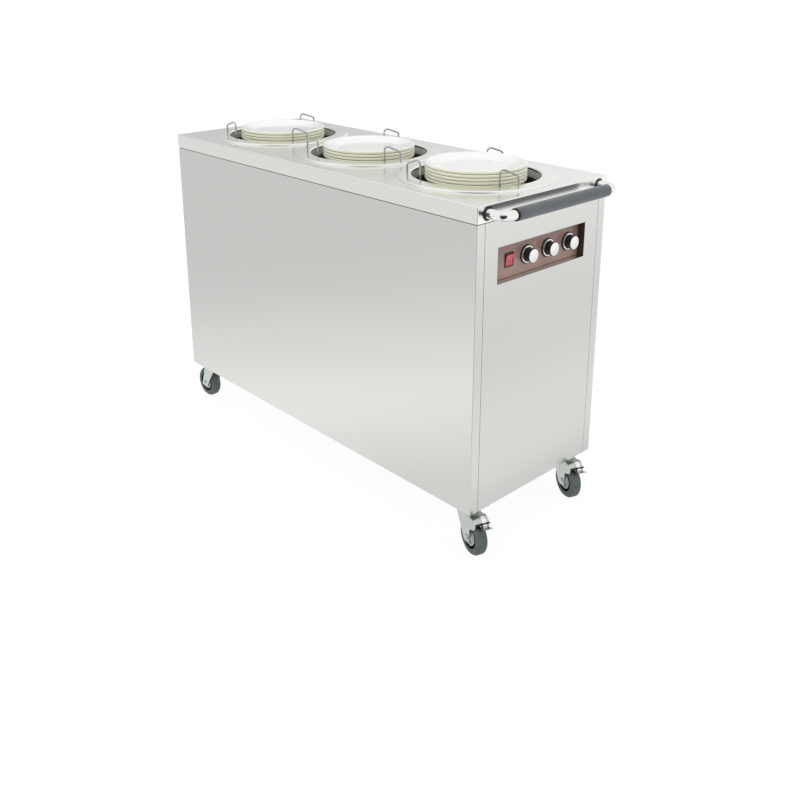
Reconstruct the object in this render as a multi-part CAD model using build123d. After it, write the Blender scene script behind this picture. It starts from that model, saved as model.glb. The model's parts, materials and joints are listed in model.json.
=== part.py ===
"""Mobile heated plate dispenser: a sheet steel cabinet with three sprung plate wells.

The cabinet is drawn about X = Y = 0 with the floor at Z = 0, then moved along X so that
the origin is the bottom centre of the whole cart. +X is the handle end, -Y the near side.
"""

from build123d import *
import os
from math import acos, cos, degrees, radians, sin

# ---- driving dimensions, millimetres ----
CABINET_LENGTH = 1310.0
CABINET_WIDTH = 500.0
DECK_TOP = 930.0
UNDERSIDE = 132.0
SKIRT_HEIGHT = 42.0
SKIRT_SHEET = 1.5
SKIRT_PROUD = 1.0
PANEL_SHEET = 2.0
SEAM = 1.0
CORNER_RETURN = 28.0
EDGE_ROUND = 4.0
LIP_TUCK = 15.0
LIP_LAP = 6.0
UPSTAND = 18.0
PAN_RIM = 25.0

WELL_PITCH = 421.0
RING_INNER = 169.0
RING_OUTER = 210.0
RING_HEIGHT = 6.5
RING_NECK = 22.0
BARREL_INNER = 171.0
BARREL_SHEET = 1.5
BARREL_FLOOR = 185.0
FLOOR_SHEET = 3.0

PLATE_RADIUS = 133.0
PLATE_RIM_TOP = 967.0
PLATE_COUNTS = (4, 4, 5)
PLATE_PITCH = 9.0
PLATE_DEPTH = 21.5
PLATE_RIM_THICKNESS = 6.5
PLATE_FLAT_RADIUS = 88.0
PLATE_FOOT_RADIUS = 72.0
PLATE_FOOT_WIDTH = 10.0
PLATE_FOOT_HEIGHT = 2.0

PLATFORM_RADIUS = 128.0
PLATFORM_SHEET = 3.0
STEM_RADIUS = 20.0
STEM_WALL = 2.0
STEM_LENGTH = 400.0
GUIDE_TUBE_HEIGHT = 350.0
GUIDE_TUBE_WALL = 3.0
SPRING_INNER = 27.0
SPRING_WIRE = 5.0
HEATER_RADIUS = 105.0
HEATER_HEIGHT = 26.0
HEATER_SHEATH = 4.25
HEATER_ARC = 330.0
HEATER_LEG = 3.0

WIRE_RADIUS = 2.5
WIRE_BEND = 10.0
WIRE_PIVOT_RADIUS = 179.0
WIRE_ARM = 46.0
WIRE_TIP_RADIUS = 150.0
WIRE_TALL_TOP = 978.0
WIRE_SHORT_TOP = 961.0
WIRE_TIP_BOTTOM = 850.0
WIRE_ANGLES = (-12.0, 108.0, 228.0)
WIRE_TURNS = (-1, 1, 1)
SOCKET_DEPTH = 25.0
SOCKET_RADIUS = 5.4
SOCKET_FLOOR = 2.0

RECESS_LOW_Y = -174.0
RECESS_HIGH_Y = 168.0
RECESS_CENTRE_Z = 772.0
RECESS_HEIGHT = 94.0
RECESS_DEPTH = 20.0
RECESS_SHEET = 1.5
FACEPLATE_SHEET = 1.5
KNOB_YS = (-43.0, 39.0, 121.0)
KNOB_SKIRT_RADIUS = 25.0
KNOB_RING_RADIUS = 22.0
KNOB_BODY_RADIUS = 19.0
KNOB_HEIGHT = 24.0
KNOB_STEP = 3.0
KNOB_STEM_RADIUS = 3.0
POINTER_WIDTH = 2.4
BUSH_RADIUS = 6.0
THERMOSTAT_SIZE = 42.0
THERMOSTAT_DEPTH = 26.0
SWITCH_Y = -110.0
SWITCH_WIDTH = 30.0
SWITCH_HEIGHT = 36.0
SWITCH_WALL = 2.4
SWITCH_BODY_DEPTH = 26.0
SWITCH_POCKET = 18.0
BEZEL_THICKNESS = 3.0
ROCKER_TILT = 8.0
ROCKER_HINGE_DEPTH = 4.0
ROCKER_PIN = 1.5

INLET_Y = 120.0
INLET_HEIGHT = 48.0
GLAND_RADIUS = 8.0
GLAND_BORE = 4.0
GLAND_REACH = 14.0
GLAND_NUT = 12.0
GLAND_NUT_THICKNESS = 7.0
TERMINAL_DEPTH = 50.0
TERMINAL_HALF_WIDTH = 40.0
TERMINAL_HEIGHT = 70.0

HANDLE_REACH = 50.0
HANDLE_RADIUS = 12.5
HANDLE_WALL = 1.5
HANDLE_BEND = 30.0
HANDLE_HALF_SPAN = 215.0
GRIP_RADIUS = 16.0
GRIP_HALF_LENGTH = 178.0
ROSETTE_RADIUS = 19.0
ROSETTE_THICKNESS = 2.0

CASTER_X = 604.0
CASTER_Y = 200.0
CASTER_TRAIL = 32.0
# How far each caster has swivelled from pointing straight out of its end of the cart.
CASTER_SWIVEL = (-18.0, -22.0, 0.0, 0.0)
MOUNT_HALF_LENGTH = 46.0
MOUNT_HALF_WIDTH = 38.0
MOUNT_SHEET = 3.0
MOUNT_CORNER = 6.0
BOLT_SPREAD_X = 37.0
BOLT_SPREAD_Y = 29.0
RACE_RADIUS = 28.0
RACE_NECK = 24.0
RACE_HEIGHT = 12.0
KINGPIN_RADIUS = 6.0
KINGPIN_DROP = 22.5
KINGPIN_NUT = 10.0
KINGPIN_NUT_HEIGHT = 5.5

WHEEL_RADIUS = 50.0
TYRE_INNER = 27.0
TYRE_SEAT = 13.0
TYRE_STEP = 30.0
TYRE_WIDTH = 30.0
TREAD_ROUND = 6.0
HUB_WIDTH = 36.0
HUB_BOSS = 13.0
HUB_WEB = 9.0
HUB_RIM = 5.0
AXLE_RADIUS = 5.0
AXLE_HEAD = 8.5
AXLE_HEAD_HEIGHT = 5.0

FORK_INNER = 18.8
FORK_SHEET = 3.0
FORK_HALF_LENGTH = 26.0
FORK_TOE = 13.0
CROWN_SHEET = 3.0
CROWN_GAP = 0.5
CROWN_BOSS_RADIUS = 15.0
CROWN_BOSS_HEIGHT = 9.4
# The brake's places in the caster's own plane, as (along the trail, height).
BRAKE_PIN = (62.0, 98.0)
BRAKE_PIN_RADIUS = 3.0
BRAKE_ARM_ROOT = (42.0, 86.0)
BRAKE_ARM_END = 8.0
HOUSING_START = 50.0
HOUSING_RADIUS = 26.0
HOUSING_SHEET = 2.0
HOUSING_END = 45.0
PEDAL_HALF_WIDTH = 16.0
PEDAL_SLEEVE = 6.0

RUNNING_FIT = 0.05
HOLE_PLAY = 0.2
BOLT_RADIUS = 4.0
BOLT_HEAD = 6.5
BOLT_HEAD_HEIGHT = 5.0
BOLT_REACH = 12.0
SCREW_RADIUS = 2.0
SCREW_HEAD = 5.0
SCREW_HEAD_HEIGHT = 2.5
SCREW_REACH = 6.0
SCREW_Y = 213.0
SCREW_ZS = (180.0, 510.0, 840.0)

# ---- worked out from the driving dimensions ----
HALF_LENGTH = CABINET_LENGTH / 2
HALF_WIDTH = CABINET_WIDTH / 2
SKIRT_BOTTOM = DECK_TOP - SKIRT_HEIGHT
PANEL_TOP = SKIRT_BOTTOM - SEAM
PANEL_END = HALF_LENGTH - SKIRT_PROUD
PANEL_SIDE = HALF_WIDTH - SKIRT_PROUD
RETURN_EDGE = PANEL_SIDE - CORNER_RETURN
WELL_XS = tuple(WELL_PITCH * step for step in (-1, 0, 1))
BARREL_TOP = DECK_TOP - SKIRT_SHEET
FLOOR_TOP = BARREL_FLOOR + FLOOR_SHEET
PLATFORM_TOP = PLATE_RIM_TOP - PLATE_DEPTH - (max(PLATE_COUNTS) - 1) * PLATE_PITCH
RECESS_BACK = PANEL_END - RECESS_DEPTH
FACE_BACK = RECESS_BACK - FACEPLATE_SHEET
TRAY_BACK = FACE_BACK - RECESS_SHEET
HANDLE_X = HALF_LENGTH + HANDLE_REACH
HANDLE_Z = DECK_TOP - SKIRT_HEIGHT / 2
CART_FRONT = HANDLE_X + GRIP_RADIUS
CART_REAR = -(CASTER_X + CASTER_TRAIL + WHEEL_RADIUS)
CABINET_SHIFT = -(CART_FRONT + CART_REAR) / 2
INLET_Z = UNDERSIDE + INLET_HEIGHT
MOUNT_LOW = UNDERSIDE - MOUNT_SHEET
CROWN_TOP = MOUNT_LOW - RACE_HEIGHT - CROWN_GAP
FORK_OUTER = FORK_INNER + FORK_SHEET
HOUSING_CENTRE = (HOUSING_START, CROWN_TOP - HOUSING_RADIUS)
# The four casters as (x sign, y sign): handle end first, near side first.
CASTERS = ((1, -1), (1, 1), (-1, -1), (-1, 1))


# ---- helpers ----
def block(x0, x1, y0, y1, z0, z1):
    """A box between two opposite corners."""
    centre = Pos((x0 + x1) / 2, (y0 + y1) / 2, (z0 + z1) / 2)
    return centre * Box(abs(x1 - x0), abs(y1 - y0), abs(z1 - z0))


def rod(radius, start, end):
    """A round bar from one point to another."""
    run = Vector(*end) - Vector(*start)
    section = Plane(origin=start, z_dir=run) * Circle(radius)
    return extrude(section, run.length)


def turned(points):
    """A solid turned about Z from (radius, height) points."""
    return revolve(Plane.XZ * Polygon(*points, align=None), Axis.Z)


def plate_xz(outline, y0, y1):
    """A flat XZ sketch as a plate between two Y values."""
    placed_outline = Plane(origin=(0, y0, 0), x_dir=(1, 0, 0), z_dir=(0, -1, 0)) * outline
    return extrude(placed_outline, y1 - y0, dir=(0, 1, 0))


def along_y(shape):
    """A shape turned about Z, laid down to turn about Y."""
    return Rot(90, 0, 0) * shape


def save(name, *pieces):
    """Write one node: a single piece, or several separate ones."""
    moved = [Pos(CABINET_SHIFT, 0, 0) * piece for piece in pieces]
    solids = [solid for piece in moved for solid in piece.solids()]
    export_step(Compound(solids) if len(solids) > 1 else solids[0], f"parts/{name}.step")


# ---- cabinet ----
def side_panel(side):
    """One long panel, with its returns round both corners and a lip behind each end panel."""
    inner = PANEL_SIDE - PANEL_SHEET
    y0, y1 = sorted((side * inner, side * PANEL_SIDE))
    panel = block(-PANEL_END, PANEL_END, y0, y1, UNDERSIDE, PANEL_TOP)
    lip0, lip1 = sorted((side * inner, side * (HALF_WIDTH - SKIRT_SHEET - RUNNING_FIT)))
    lip_end = inner_end() - EDGE_ROUND
    panel += block(-lip_end, lip_end, lip0, lip1, PANEL_TOP, PANEL_TOP + UPSTAND)
    for end in (-1, 1):
        wall = sorted((end * inner_end(), end * PANEL_END))
        back = sorted((end * (inner_end() - PANEL_SHEET), end * inner_end()))
        edge = sorted((side * RETURN_EDGE, side * PANEL_SIDE))
        tuck = sorted((side * (RETURN_EDGE - LIP_TUCK), side * (RETURN_EDGE + LIP_LAP)))
        panel += block(*wall, *edge, UNDERSIDE, PANEL_TOP)
        panel += block(*back, *tuck, UNDERSIDE, PANEL_TOP)
    corners = panel.edges().filter_by(Axis.Z).filter_by(
        lambda e: abs(abs(e.center().X) - PANEL_END) < 0.01
        and abs(abs(e.center().Y) - PANEL_SIDE) < 0.01
    )
    return fillet(corners, EDGE_ROUND / 2)


def inner_end():
    """The inside face of an end wall, along X."""
    return PANEL_END - PANEL_SHEET


def end_panel(end):
    """The flat panel between the two corner returns of one end."""
    half = RETURN_EDGE - SEAM
    wall = sorted((end * inner_end(), end * PANEL_END))
    lip = sorted((end * inner_end(), end * (HALF_LENGTH - SKIRT_SHEET - RUNNING_FIT)))
    panel = block(*wall, -half, half, UNDERSIDE, PANEL_TOP)
    return panel + block(*lip, -half, half, PANEL_TOP, PANEL_TOP + UPSTAND)


def recess_box(x0, x1, spread):
    """A block over the control recess, spread by so much in Y and Z."""
    low = RECESS_CENTRE_Z - RECESS_HEIGHT / 2 - spread
    high = RECESS_CENTRE_Z + RECESS_HEIGHT / 2 + spread
    return block(x0, x1, RECESS_LOW_Y - spread, RECESS_HIGH_Y + spread, low, high)


def base_pan():
    """The folded tray that closes the bottom and carries the casters."""
    half_x = inner_end() - PANEL_SHEET
    half_y = PANEL_SIDE - PANEL_SHEET
    rim = UNDERSIDE + PAN_RIM
    pan = block(-half_x, half_x, -half_y, half_y, UNDERSIDE, rim)
    pan -= block(-half_x + PANEL_SHEET, half_x - PANEL_SHEET, -half_y + PANEL_SHEET,
                 half_y - PANEL_SHEET, UNDERSIDE + PANEL_SHEET, rim)
    for x, y in bolt_places():
        pan -= rod(BOLT_RADIUS + HOLE_PLAY, (x, y, UNDERSIDE), (x, y, UNDERSIDE + PANEL_SHEET))
    return pan


def top_deck():
    """The lid: a flat top with a turned-down skirt and the three well openings."""
    def shell(inset, low, high, rounding):
        body = block(-HALF_LENGTH + inset, HALF_LENGTH - inset, -HALF_WIDTH + inset,
                     HALF_WIDTH - inset, low, high)
        body = fillet(body.edges().filter_by(Axis.Z), rounding)
        return fillet(body.edges().group_by(Axis.Z)[-1], rounding - 1)

    deck = shell(0, SKIRT_BOTTOM, DECK_TOP, EDGE_ROUND)
    deck -= shell(SKIRT_SHEET, SKIRT_BOTTOM, DECK_TOP - SKIRT_SHEET, EDGE_ROUND - SKIRT_SHEET)
    for well in WELL_XS:
        deck -= rod(BARREL_INNER, (well, 0, DECK_TOP - 10), (well, 0, DECK_TOP + 10))
        for angle in WIRE_ANGLES:
            x, y = pivot(well, angle)
            deck -= rod(WIRE_RADIUS + 1, (x, y, DECK_TOP - 10), (x, y, DECK_TOP + 10))
    return deck


# ---- wells ----
def pivot(well, angle):
    """The XY place where a plate guide turns in its socket."""
    a = radians(angle)
    return well + WIRE_PIVOT_RADIUS * cos(a), WIRE_PIVOT_RADIUS * sin(a)


def well_ring(well):
    """The polished collar: flat on the deck, rounded outside, with a neck into the well."""
    lip = RING_HEIGHT - 1.5
    ring = turned([
        (RING_OUTER, 0), (RING_OUTER - 1.5, RING_HEIGHT), (RING_INNER, lip),
        (RING_INNER, -RING_NECK), (RING_INNER + 1.5, -RING_NECK), (RING_INNER + 1.5, 0),
    ])
    for height, rounding in ((RING_HEIGHT, 4.5), (lip, 3.0)):
        ring = fillet(ring.edges().filter_by(
            lambda e: e.geom_type == GeomType.CIRCLE and abs(e.center().Z - height) < 0.01
        ), rounding)
    ring = Pos(well, 0, DECK_TOP) * ring
    for angle in WIRE_ANGLES:
        x, y = pivot(well, angle)
        ring -= rod(WIRE_RADIUS + RUNNING_FIT, (x, y, DECK_TOP - 1), (x, y, DECK_TOP + 10))
    return ring


def well_barrel(well):
    """The well's rolled tube, and its floor with the tube that guides the platform's stem."""
    outer = BARREL_INNER + BARREL_SHEET
    wall = turned([
        (BARREL_INNER, BARREL_FLOOR), (outer, BARREL_FLOOR), (outer, BARREL_TOP),
        (BARREL_INNER, BARREL_TOP),
    ])
    tube_inner = STEM_RADIUS + RUNNING_FIT
    tube_outer = tube_inner + GUIDE_TUBE_WALL
    tube_top = FLOOR_TOP + GUIDE_TUBE_HEIGHT
    floor = turned([
        (tube_inner, BARREL_FLOOR), (BARREL_INNER, BARREL_FLOOR), (BARREL_INNER, FLOOR_TOP),
        (tube_outer, FLOOR_TOP), (tube_outer, tube_top), (tube_inner, tube_top),
    ])
    return Pos(well, 0, 0) * wall, Pos(well, 0, 0) * floor


def heating_element(well):
    """An open ring of tubular heater standing on three legs on the well's floor."""
    height = FLOOR_TOP + HEATER_HEIGHT
    opening = 360 - HEATER_ARC
    section = Plane.XZ * Pos(HEATER_RADIUS, height) * Circle(HEATER_SHEATH)
    ring = Rot(0, 0, opening / 2) * revolve(section, Axis.Z, revolution_arc=HEATER_ARC)
    for angle in (opening, 180, 360 - opening):
        x = HEATER_RADIUS * cos(radians(angle))
        y = HEATER_RADIUS * sin(radians(angle))
        ring += rod(HEATER_LEG, (x, y, FLOOR_TOP), (x, y, height))
    return Pos(well, 0, 0) * ring


def guide_socket(well, angle):
    """A blind bush under the deck that a plate guide stands and turns in."""
    x, y = pivot(well, angle)
    low = BARREL_TOP - SOCKET_DEPTH
    bush = rod(SOCKET_RADIUS, (x, y, low), (x, y, BARREL_TOP))
    return bush - rod(WIRE_RADIUS + RUNNING_FIT, (x, y, low + SOCKET_FLOOR), (x, y, BARREL_TOP))


def plate_guide(well, angle, turn):
    """Bent wire: up out of its socket, across, and down inside the well beside the plates."""
    reach = (WIRE_PIVOT_RADIUS**2 + WIRE_ARM**2 - WIRE_TIP_RADIUS**2)
    swing = degrees(acos(reach / (2 * WIRE_PIVOT_RADIUS * WIRE_ARM)))
    heading = radians(angle + 180 - turn * swing)
    x, y = pivot(well, angle)
    tip_x = x + WIRE_ARM * cos(heading)
    tip_y = y + WIRE_ARM * sin(heading)
    path = FilletPolyline(
        (x, y, BARREL_TOP - SOCKET_DEPTH + SOCKET_FLOOR + 0.5), (x, y, WIRE_SHORT_TOP),
        (tip_x, tip_y, WIRE_TALL_TOP), (tip_x, tip_y, WIRE_TIP_BOTTOM), radius=WIRE_BEND,
    )
    return sweep(Plane(origin=path @ 0, z_dir=path % 0) * Circle(WIRE_RADIUS), path)


def platform(well):
    """The lifting disc with its stem."""
    low = PLATFORM_TOP - PLATFORM_SHEET
    disc = turned([
        (STEM_RADIUS - STEM_WALL, low - STEM_LENGTH), (STEM_RADIUS, low - STEM_LENGTH),
        (STEM_RADIUS, low), (PLATFORM_RADIUS, low), (PLATFORM_RADIUS, PLATFORM_TOP),
        (0, PLATFORM_TOP), (0, low), (STEM_RADIUS - STEM_WALL, low),
    ])
    return Pos(well, 0, 0) * disc


def lift_spring(well):
    """The close-wound spring under the platform, as a plain sleeve."""
    top = PLATFORM_TOP - PLATFORM_SHEET
    outer = SPRING_INNER + SPRING_WIRE
    return Pos(well, 0, 0) * turned([
        (SPRING_INNER, FLOOR_TOP), (outer, FLOOR_TOP), (outer, top), (SPRING_INNER, top),
    ])


def plate(well, level):
    """One plate: foot, flat well and a sloping rim that leaves a gap to the next rim."""
    foot = PLATFORM_TOP + level * PLATE_PITCH
    foot_inner = PLATE_FOOT_RADIUS - PLATE_FOOT_WIDTH
    rim_low = PLATE_DEPTH - PLATE_RIM_THICKNESS
    dish = turned([
        (0, PLATE_FOOT_HEIGHT), (foot_inner - 2, PLATE_FOOT_HEIGHT), (foot_inner, 0),
        (PLATE_FOOT_RADIUS, 0), (PLATE_FOOT_RADIUS + 4, PLATE_FOOT_HEIGHT),
        (PLATE_FLAT_RADIUS + 4, PLATE_FOOT_HEIGHT + 1), (PLATE_RADIUS - 6, rim_low - 1.5),
        (PLATE_RADIUS, rim_low), (PLATE_RADIUS, PLATE_DEPTH),
        (PLATE_RADIUS - 7, PLATE_DEPTH - 0.5), (PLATE_FLAT_RADIUS, PLATE_PITCH),
        (0, PLATE_PITCH),
    ])
    return Pos(well, 0, foot) * dish


# ---- controls ----
def control_recess():
    """The folded tray that the controls sit in, let into the end panel."""
    tray = recess_box(TRAY_BACK, PANEL_END, 0) - recess_box(FACE_BACK, PANEL_END, -RECESS_SHEET)
    for y in KNOB_YS:
        tray -= rod(BUSH_RADIUS + 1, (TRAY_BACK - 1, y, RECESS_CENTRE_Z),
                    (FACE_BACK + 1, y, RECESS_CENTRE_Z))
    return tray - switch_block(TRAY_BACK - 1, FACE_BACK + 1, SWITCH_WALL / 2)


def control_faceplate():
    """The thin face plate on the back of the recess."""
    face = recess_box(FACE_BACK, RECESS_BACK, -RECESS_SHEET)
    for y in KNOB_YS:
        face -= rod(KNOB_STEM_RADIUS + RUNNING_FIT, (FACE_BACK - 1, y, RECESS_CENTRE_Z),
                    (RECESS_BACK + 1, y, RECESS_CENTRE_Z))
    return face - switch_block(FACE_BACK - 1, RECESS_BACK + 1, SWITCH_WALL / 2)


def thermostat(y):
    """A thermostat body with the bush that the knob's stem turns in."""
    z = RECESS_CENTRE_Z
    nose = TRAY_BACK - BUSH_RADIUS
    half = THERMOSTAT_SIZE / 2
    body = block(nose - THERMOSTAT_DEPTH, nose, y - half, y + half, z - half, z + half)
    body += rod(BUSH_RADIUS, (nose, y, z), (FACE_BACK, y, z))
    return body - rod(KNOB_STEM_RADIUS + RUNNING_FIT, (nose - 6, y, z), (FACE_BACK, y, z))


def knob(y):
    """A control knob: skirt, ring, grip and pointer, with the stem behind."""
    z = RECESS_CENTRE_Z
    back = RECESS_BACK + 0.5
    skirt = back + KNOB_STEP
    ring = skirt + KNOB_STEP
    face = RECESS_BACK + KNOB_HEIGHT
    body = rod(KNOB_SKIRT_RADIUS, (back, y, z), (skirt, y, z))
    body += rod(KNOB_RING_RADIUS, (skirt, y, z), (ring, y, z))
    body += rod(KNOB_BODY_RADIUS, (ring, y, z), (face, y, z))
    rim = body.edges().filter_by(GeomType.CIRCLE).sort_by(Axis.X)[-1]
    body = fillet(rim, 2.0)
    body += block(face - 2, face + 1, y - POINTER_WIDTH / 2, y + POINTER_WIDTH / 2, z + 4,
                  z + KNOB_BODY_RADIUS - 3)
    return body + rod(KNOB_STEM_RADIUS, (TRAY_BACK - 10, y, z), (back, y, z))


def switch_block(x0, x1, inset):
    """A block over the switch, drawn in by so much all round."""
    half_y = SWITCH_WIDTH / 2 - inset
    half_z = SWITCH_HEIGHT / 2 - inset
    z = RECESS_CENTRE_Z
    return block(x0, x1, SWITCH_Y - half_y, SWITCH_Y + half_y, z - half_z, z + half_z)


def rocker_pin(y_reach, play):
    """The rocker's pin across the switch, with so much play all round."""
    hinge = RECESS_BACK - ROCKER_HINGE_DEPTH
    return rod(ROCKER_PIN + play, (hinge, SWITCH_Y - y_reach, RECESS_CENTRE_Z),
               (hinge, SWITCH_Y + y_reach, RECESS_CENTRE_Z))


def switch_housing():
    """The switch body and bezel, open in front for the rocker."""
    front = RECESS_BACK + BEZEL_THICKNESS
    body = switch_block(RECESS_BACK - SWITCH_BODY_DEPTH, RECESS_BACK, SWITCH_WALL / 2)
    body += switch_block(RECESS_BACK, front, 0)
    body -= switch_block(RECESS_BACK - SWITCH_POCKET, front, SWITCH_WALL)
    return body - rocker_pin(SWITCH_WIDTH / 2 - 1.6, RUNNING_FIT)


def switch_rocker():
    """The rocker, tipped to one side on its pins."""
    half = SWITCH_HEIGHT / 2 - SWITCH_WALL - 2.0
    outline = Polygon((-4, -4), (4, -half), (9, -half), (5.5, 0), (9, half), (4, half), (-4, 4),
                      align=None)
    wide = SWITCH_WIDTH / 2 - SWITCH_WALL - 0.4
    hinge = Pos(RECESS_BACK - ROCKER_HINGE_DEPTH, SWITCH_Y, RECESS_CENTRE_Z)
    rocker = hinge * Rot(0, ROCKER_TILT, 0) * plate_xz(outline, -wide, wide)
    return rocker + rocker_pin(SWITCH_WIDTH / 2 - 2, 0)


def terminal_box():
    """The closed box that the mains lead is joined in."""
    back = -inner_end() + 4
    low = UNDERSIDE + PANEL_SHEET
    return block(back, back + TERMINAL_DEPTH, INLET_Y - TERMINAL_HALF_WIDTH,
                 INLET_Y + TERMINAL_HALF_WIDTH, low, low + TERMINAL_HEIGHT)


def cable_gland():
    """The mains inlet through the rear panel, without its lead."""
    gland = rod(GLAND_RADIUS, (-inner_end() + 4, INLET_Y, INLET_Z),
                (-PANEL_END - GLAND_REACH, INLET_Y, INLET_Z))
    nut = Plane(origin=(-PANEL_END, INLET_Y, INLET_Z), z_dir=(-1, 0, 0))
    gland += extrude(nut * RegularPolygon(GLAND_NUT, 6), GLAND_NUT_THICKNESS)
    return gland - rod(GLAND_BORE, (-inner_end() - 1, INLET_Y, INLET_Z),
                       (-PANEL_END - GLAND_REACH - 1, INLET_Y, INLET_Z))


# ---- handle ----
def handle_path():
    """The handle's centre line, out of the skirt, across and back."""
    root = HALF_LENGTH + ROSETTE_THICKNESS
    span = HANDLE_HALF_SPAN
    return FilletPolyline((root, -span, HANDLE_Z), (HANDLE_X, -span, HANDLE_Z),
                          (HANDLE_X, span, HANDLE_Z), (root, span, HANDLE_Z), radius=HANDLE_BEND)


def handle_tube():
    """The chromed tube, welded to a round foot at each end."""
    path = handle_path()
    section = Circle(HANDLE_RADIUS) - Circle(HANDLE_RADIUS - HANDLE_WALL)
    tube = sweep(Plane(origin=path @ 0, z_dir=path % 0) * section, path)
    for side in (-1, 1):
        y = side * HANDLE_HALF_SPAN
        tube += rod(ROSETTE_RADIUS, (HALF_LENGTH, y, HANDLE_Z),
                    (HALF_LENGTH + ROSETTE_THICKNESS, y, HANDLE_Z))
    return tube


def handle_grip():
    """The rubber sleeve on the straight run of the handle."""
    start = (HANDLE_X, -GRIP_HALF_LENGTH, HANDLE_Z)
    end = (HANDLE_X, GRIP_HALF_LENGTH, HANDLE_Z)
    sleeve = rod(GRIP_RADIUS, start, end)
    sleeve = fillet(sleeve.edges().filter_by(GeomType.CIRCLE), 1.5)
    return sleeve - rod(HANDLE_RADIUS, start, end)


# ---- casters ----
def caster_place(number):
    """A caster's end of the cart, as a sign, and its kingpin's XY place."""
    x_sign, y_sign = CASTERS[number]
    return x_sign, x_sign * CASTER_X, y_sign * CASTER_Y


def placed(number, shape):
    """A caster piece drawn about the kingpin and trailing +X, moved to its caster."""
    x_sign, x, y = caster_place(number)
    outwards = 0 if x_sign > 0 else 180
    return Pos(x, y, 0) * Rot(0, 0, outwards + CASTER_SWIVEL[number]) * shape


def bolts_of(number):
    """The XY places of one caster's four bolts."""
    _, x, y = caster_place(number)
    return [(x + dx, y + dy) for dx in (-BOLT_SPREAD_X, BOLT_SPREAD_X)
            for dy in (-BOLT_SPREAD_Y, BOLT_SPREAD_Y)]


def bolt_places():
    """The XY places of the sixteen caster bolts."""
    return [place for number in range(4) for place in bolts_of(number)]


def caster_plate(number):
    """The fixed half of a caster: top plate, race and kingpin with its nut."""
    _, x, y = caster_place(number)
    race_low = MOUNT_LOW - RACE_HEIGHT
    nut_top = MOUNT_LOW - KINGPIN_DROP
    nut_low = nut_top - KINGPIN_NUT_HEIGHT
    race = turned([
        (0, MOUNT_LOW), (RACE_RADIUS, MOUNT_LOW), (RACE_NECK, race_low),
        (KINGPIN_RADIUS, race_low), (KINGPIN_RADIUS, nut_top), (KINGPIN_NUT, nut_top),
        (KINGPIN_NUT, nut_low), (0, nut_low),
    ])
    sheet = block(-MOUNT_HALF_LENGTH, MOUNT_HALF_LENGTH, -MOUNT_HALF_WIDTH, MOUNT_HALF_WIDTH,
                  MOUNT_LOW, UNDERSIDE)
    sheet = fillet(sheet.edges().filter_by(Axis.Z), MOUNT_CORNER)
    body = Pos(x, y, 0) * (sheet + race)
    for bolt_x, bolt_y in bolts_of(number):
        body -= rod(BOLT_RADIUS + HOLE_PLAY, (bolt_x, bolt_y, MOUNT_LOW),
                    (bolt_x, bolt_y, UNDERSIDE))
    return body


def caster_bolt(x, y):
    """One caster bolt with its nut inside the base pan."""
    pan = UNDERSIDE + PANEL_SHEET
    bolt = rod(BOLT_RADIUS, (x, y, MOUNT_LOW), (x, y, UNDERSIDE + BOLT_REACH))
    bolt += rod(BOLT_HEAD, (x, y, MOUNT_LOW - BOLT_HEAD_HEIGHT), (x, y, MOUNT_LOW))
    return bolt + rod(BOLT_HEAD, (x, y, pan), (x, y, pan + BOLT_HEAD))


def fork_cheek(braked):
    """The outline of one fork cheek in XZ, with the arm that carries a brake."""
    crown = Pos(0, CROWN_TOP - 4) * Rectangle(2 * FORK_HALF_LENGTH, 8)
    toe = Pos(CASTER_TRAIL, WHEEL_RADIUS) * Circle(FORK_TOE)
    cheek = make_hull([*crown.edges(), *toe.edges()])
    if braked:
        housing = CenterArc((*HOUSING_CENTRE, 0), HOUSING_RADIUS, HOUSING_END, 90 - HOUSING_END)
        end = Pos(*BRAKE_PIN) * Circle(BRAKE_ARM_END)
        root = Pos(*BRAKE_ARM_ROOT) * Circle(2)
        cheek += make_hull([*crown.edges(), housing, *end.edges(), *root.edges()])
    return cheek


def brake_housing():
    """The curved sheet that covers the brake between the two arms."""
    centre = (*HOUSING_CENTRE, 0)
    sweep_angle = 90 - HOUSING_END
    outer = CenterArc(centre, HOUSING_RADIUS, HOUSING_END, sweep_angle)
    inner = CenterArc(centre, HOUSING_RADIUS - HOUSING_SHEET, HOUSING_END, sweep_angle)
    sheet = make_face([outer, inner, Line(outer @ 0, inner @ 0), Line(outer @ 1, inner @ 1)])
    return plate_xz(sheet, -FORK_OUTER, FORK_OUTER)


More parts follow.
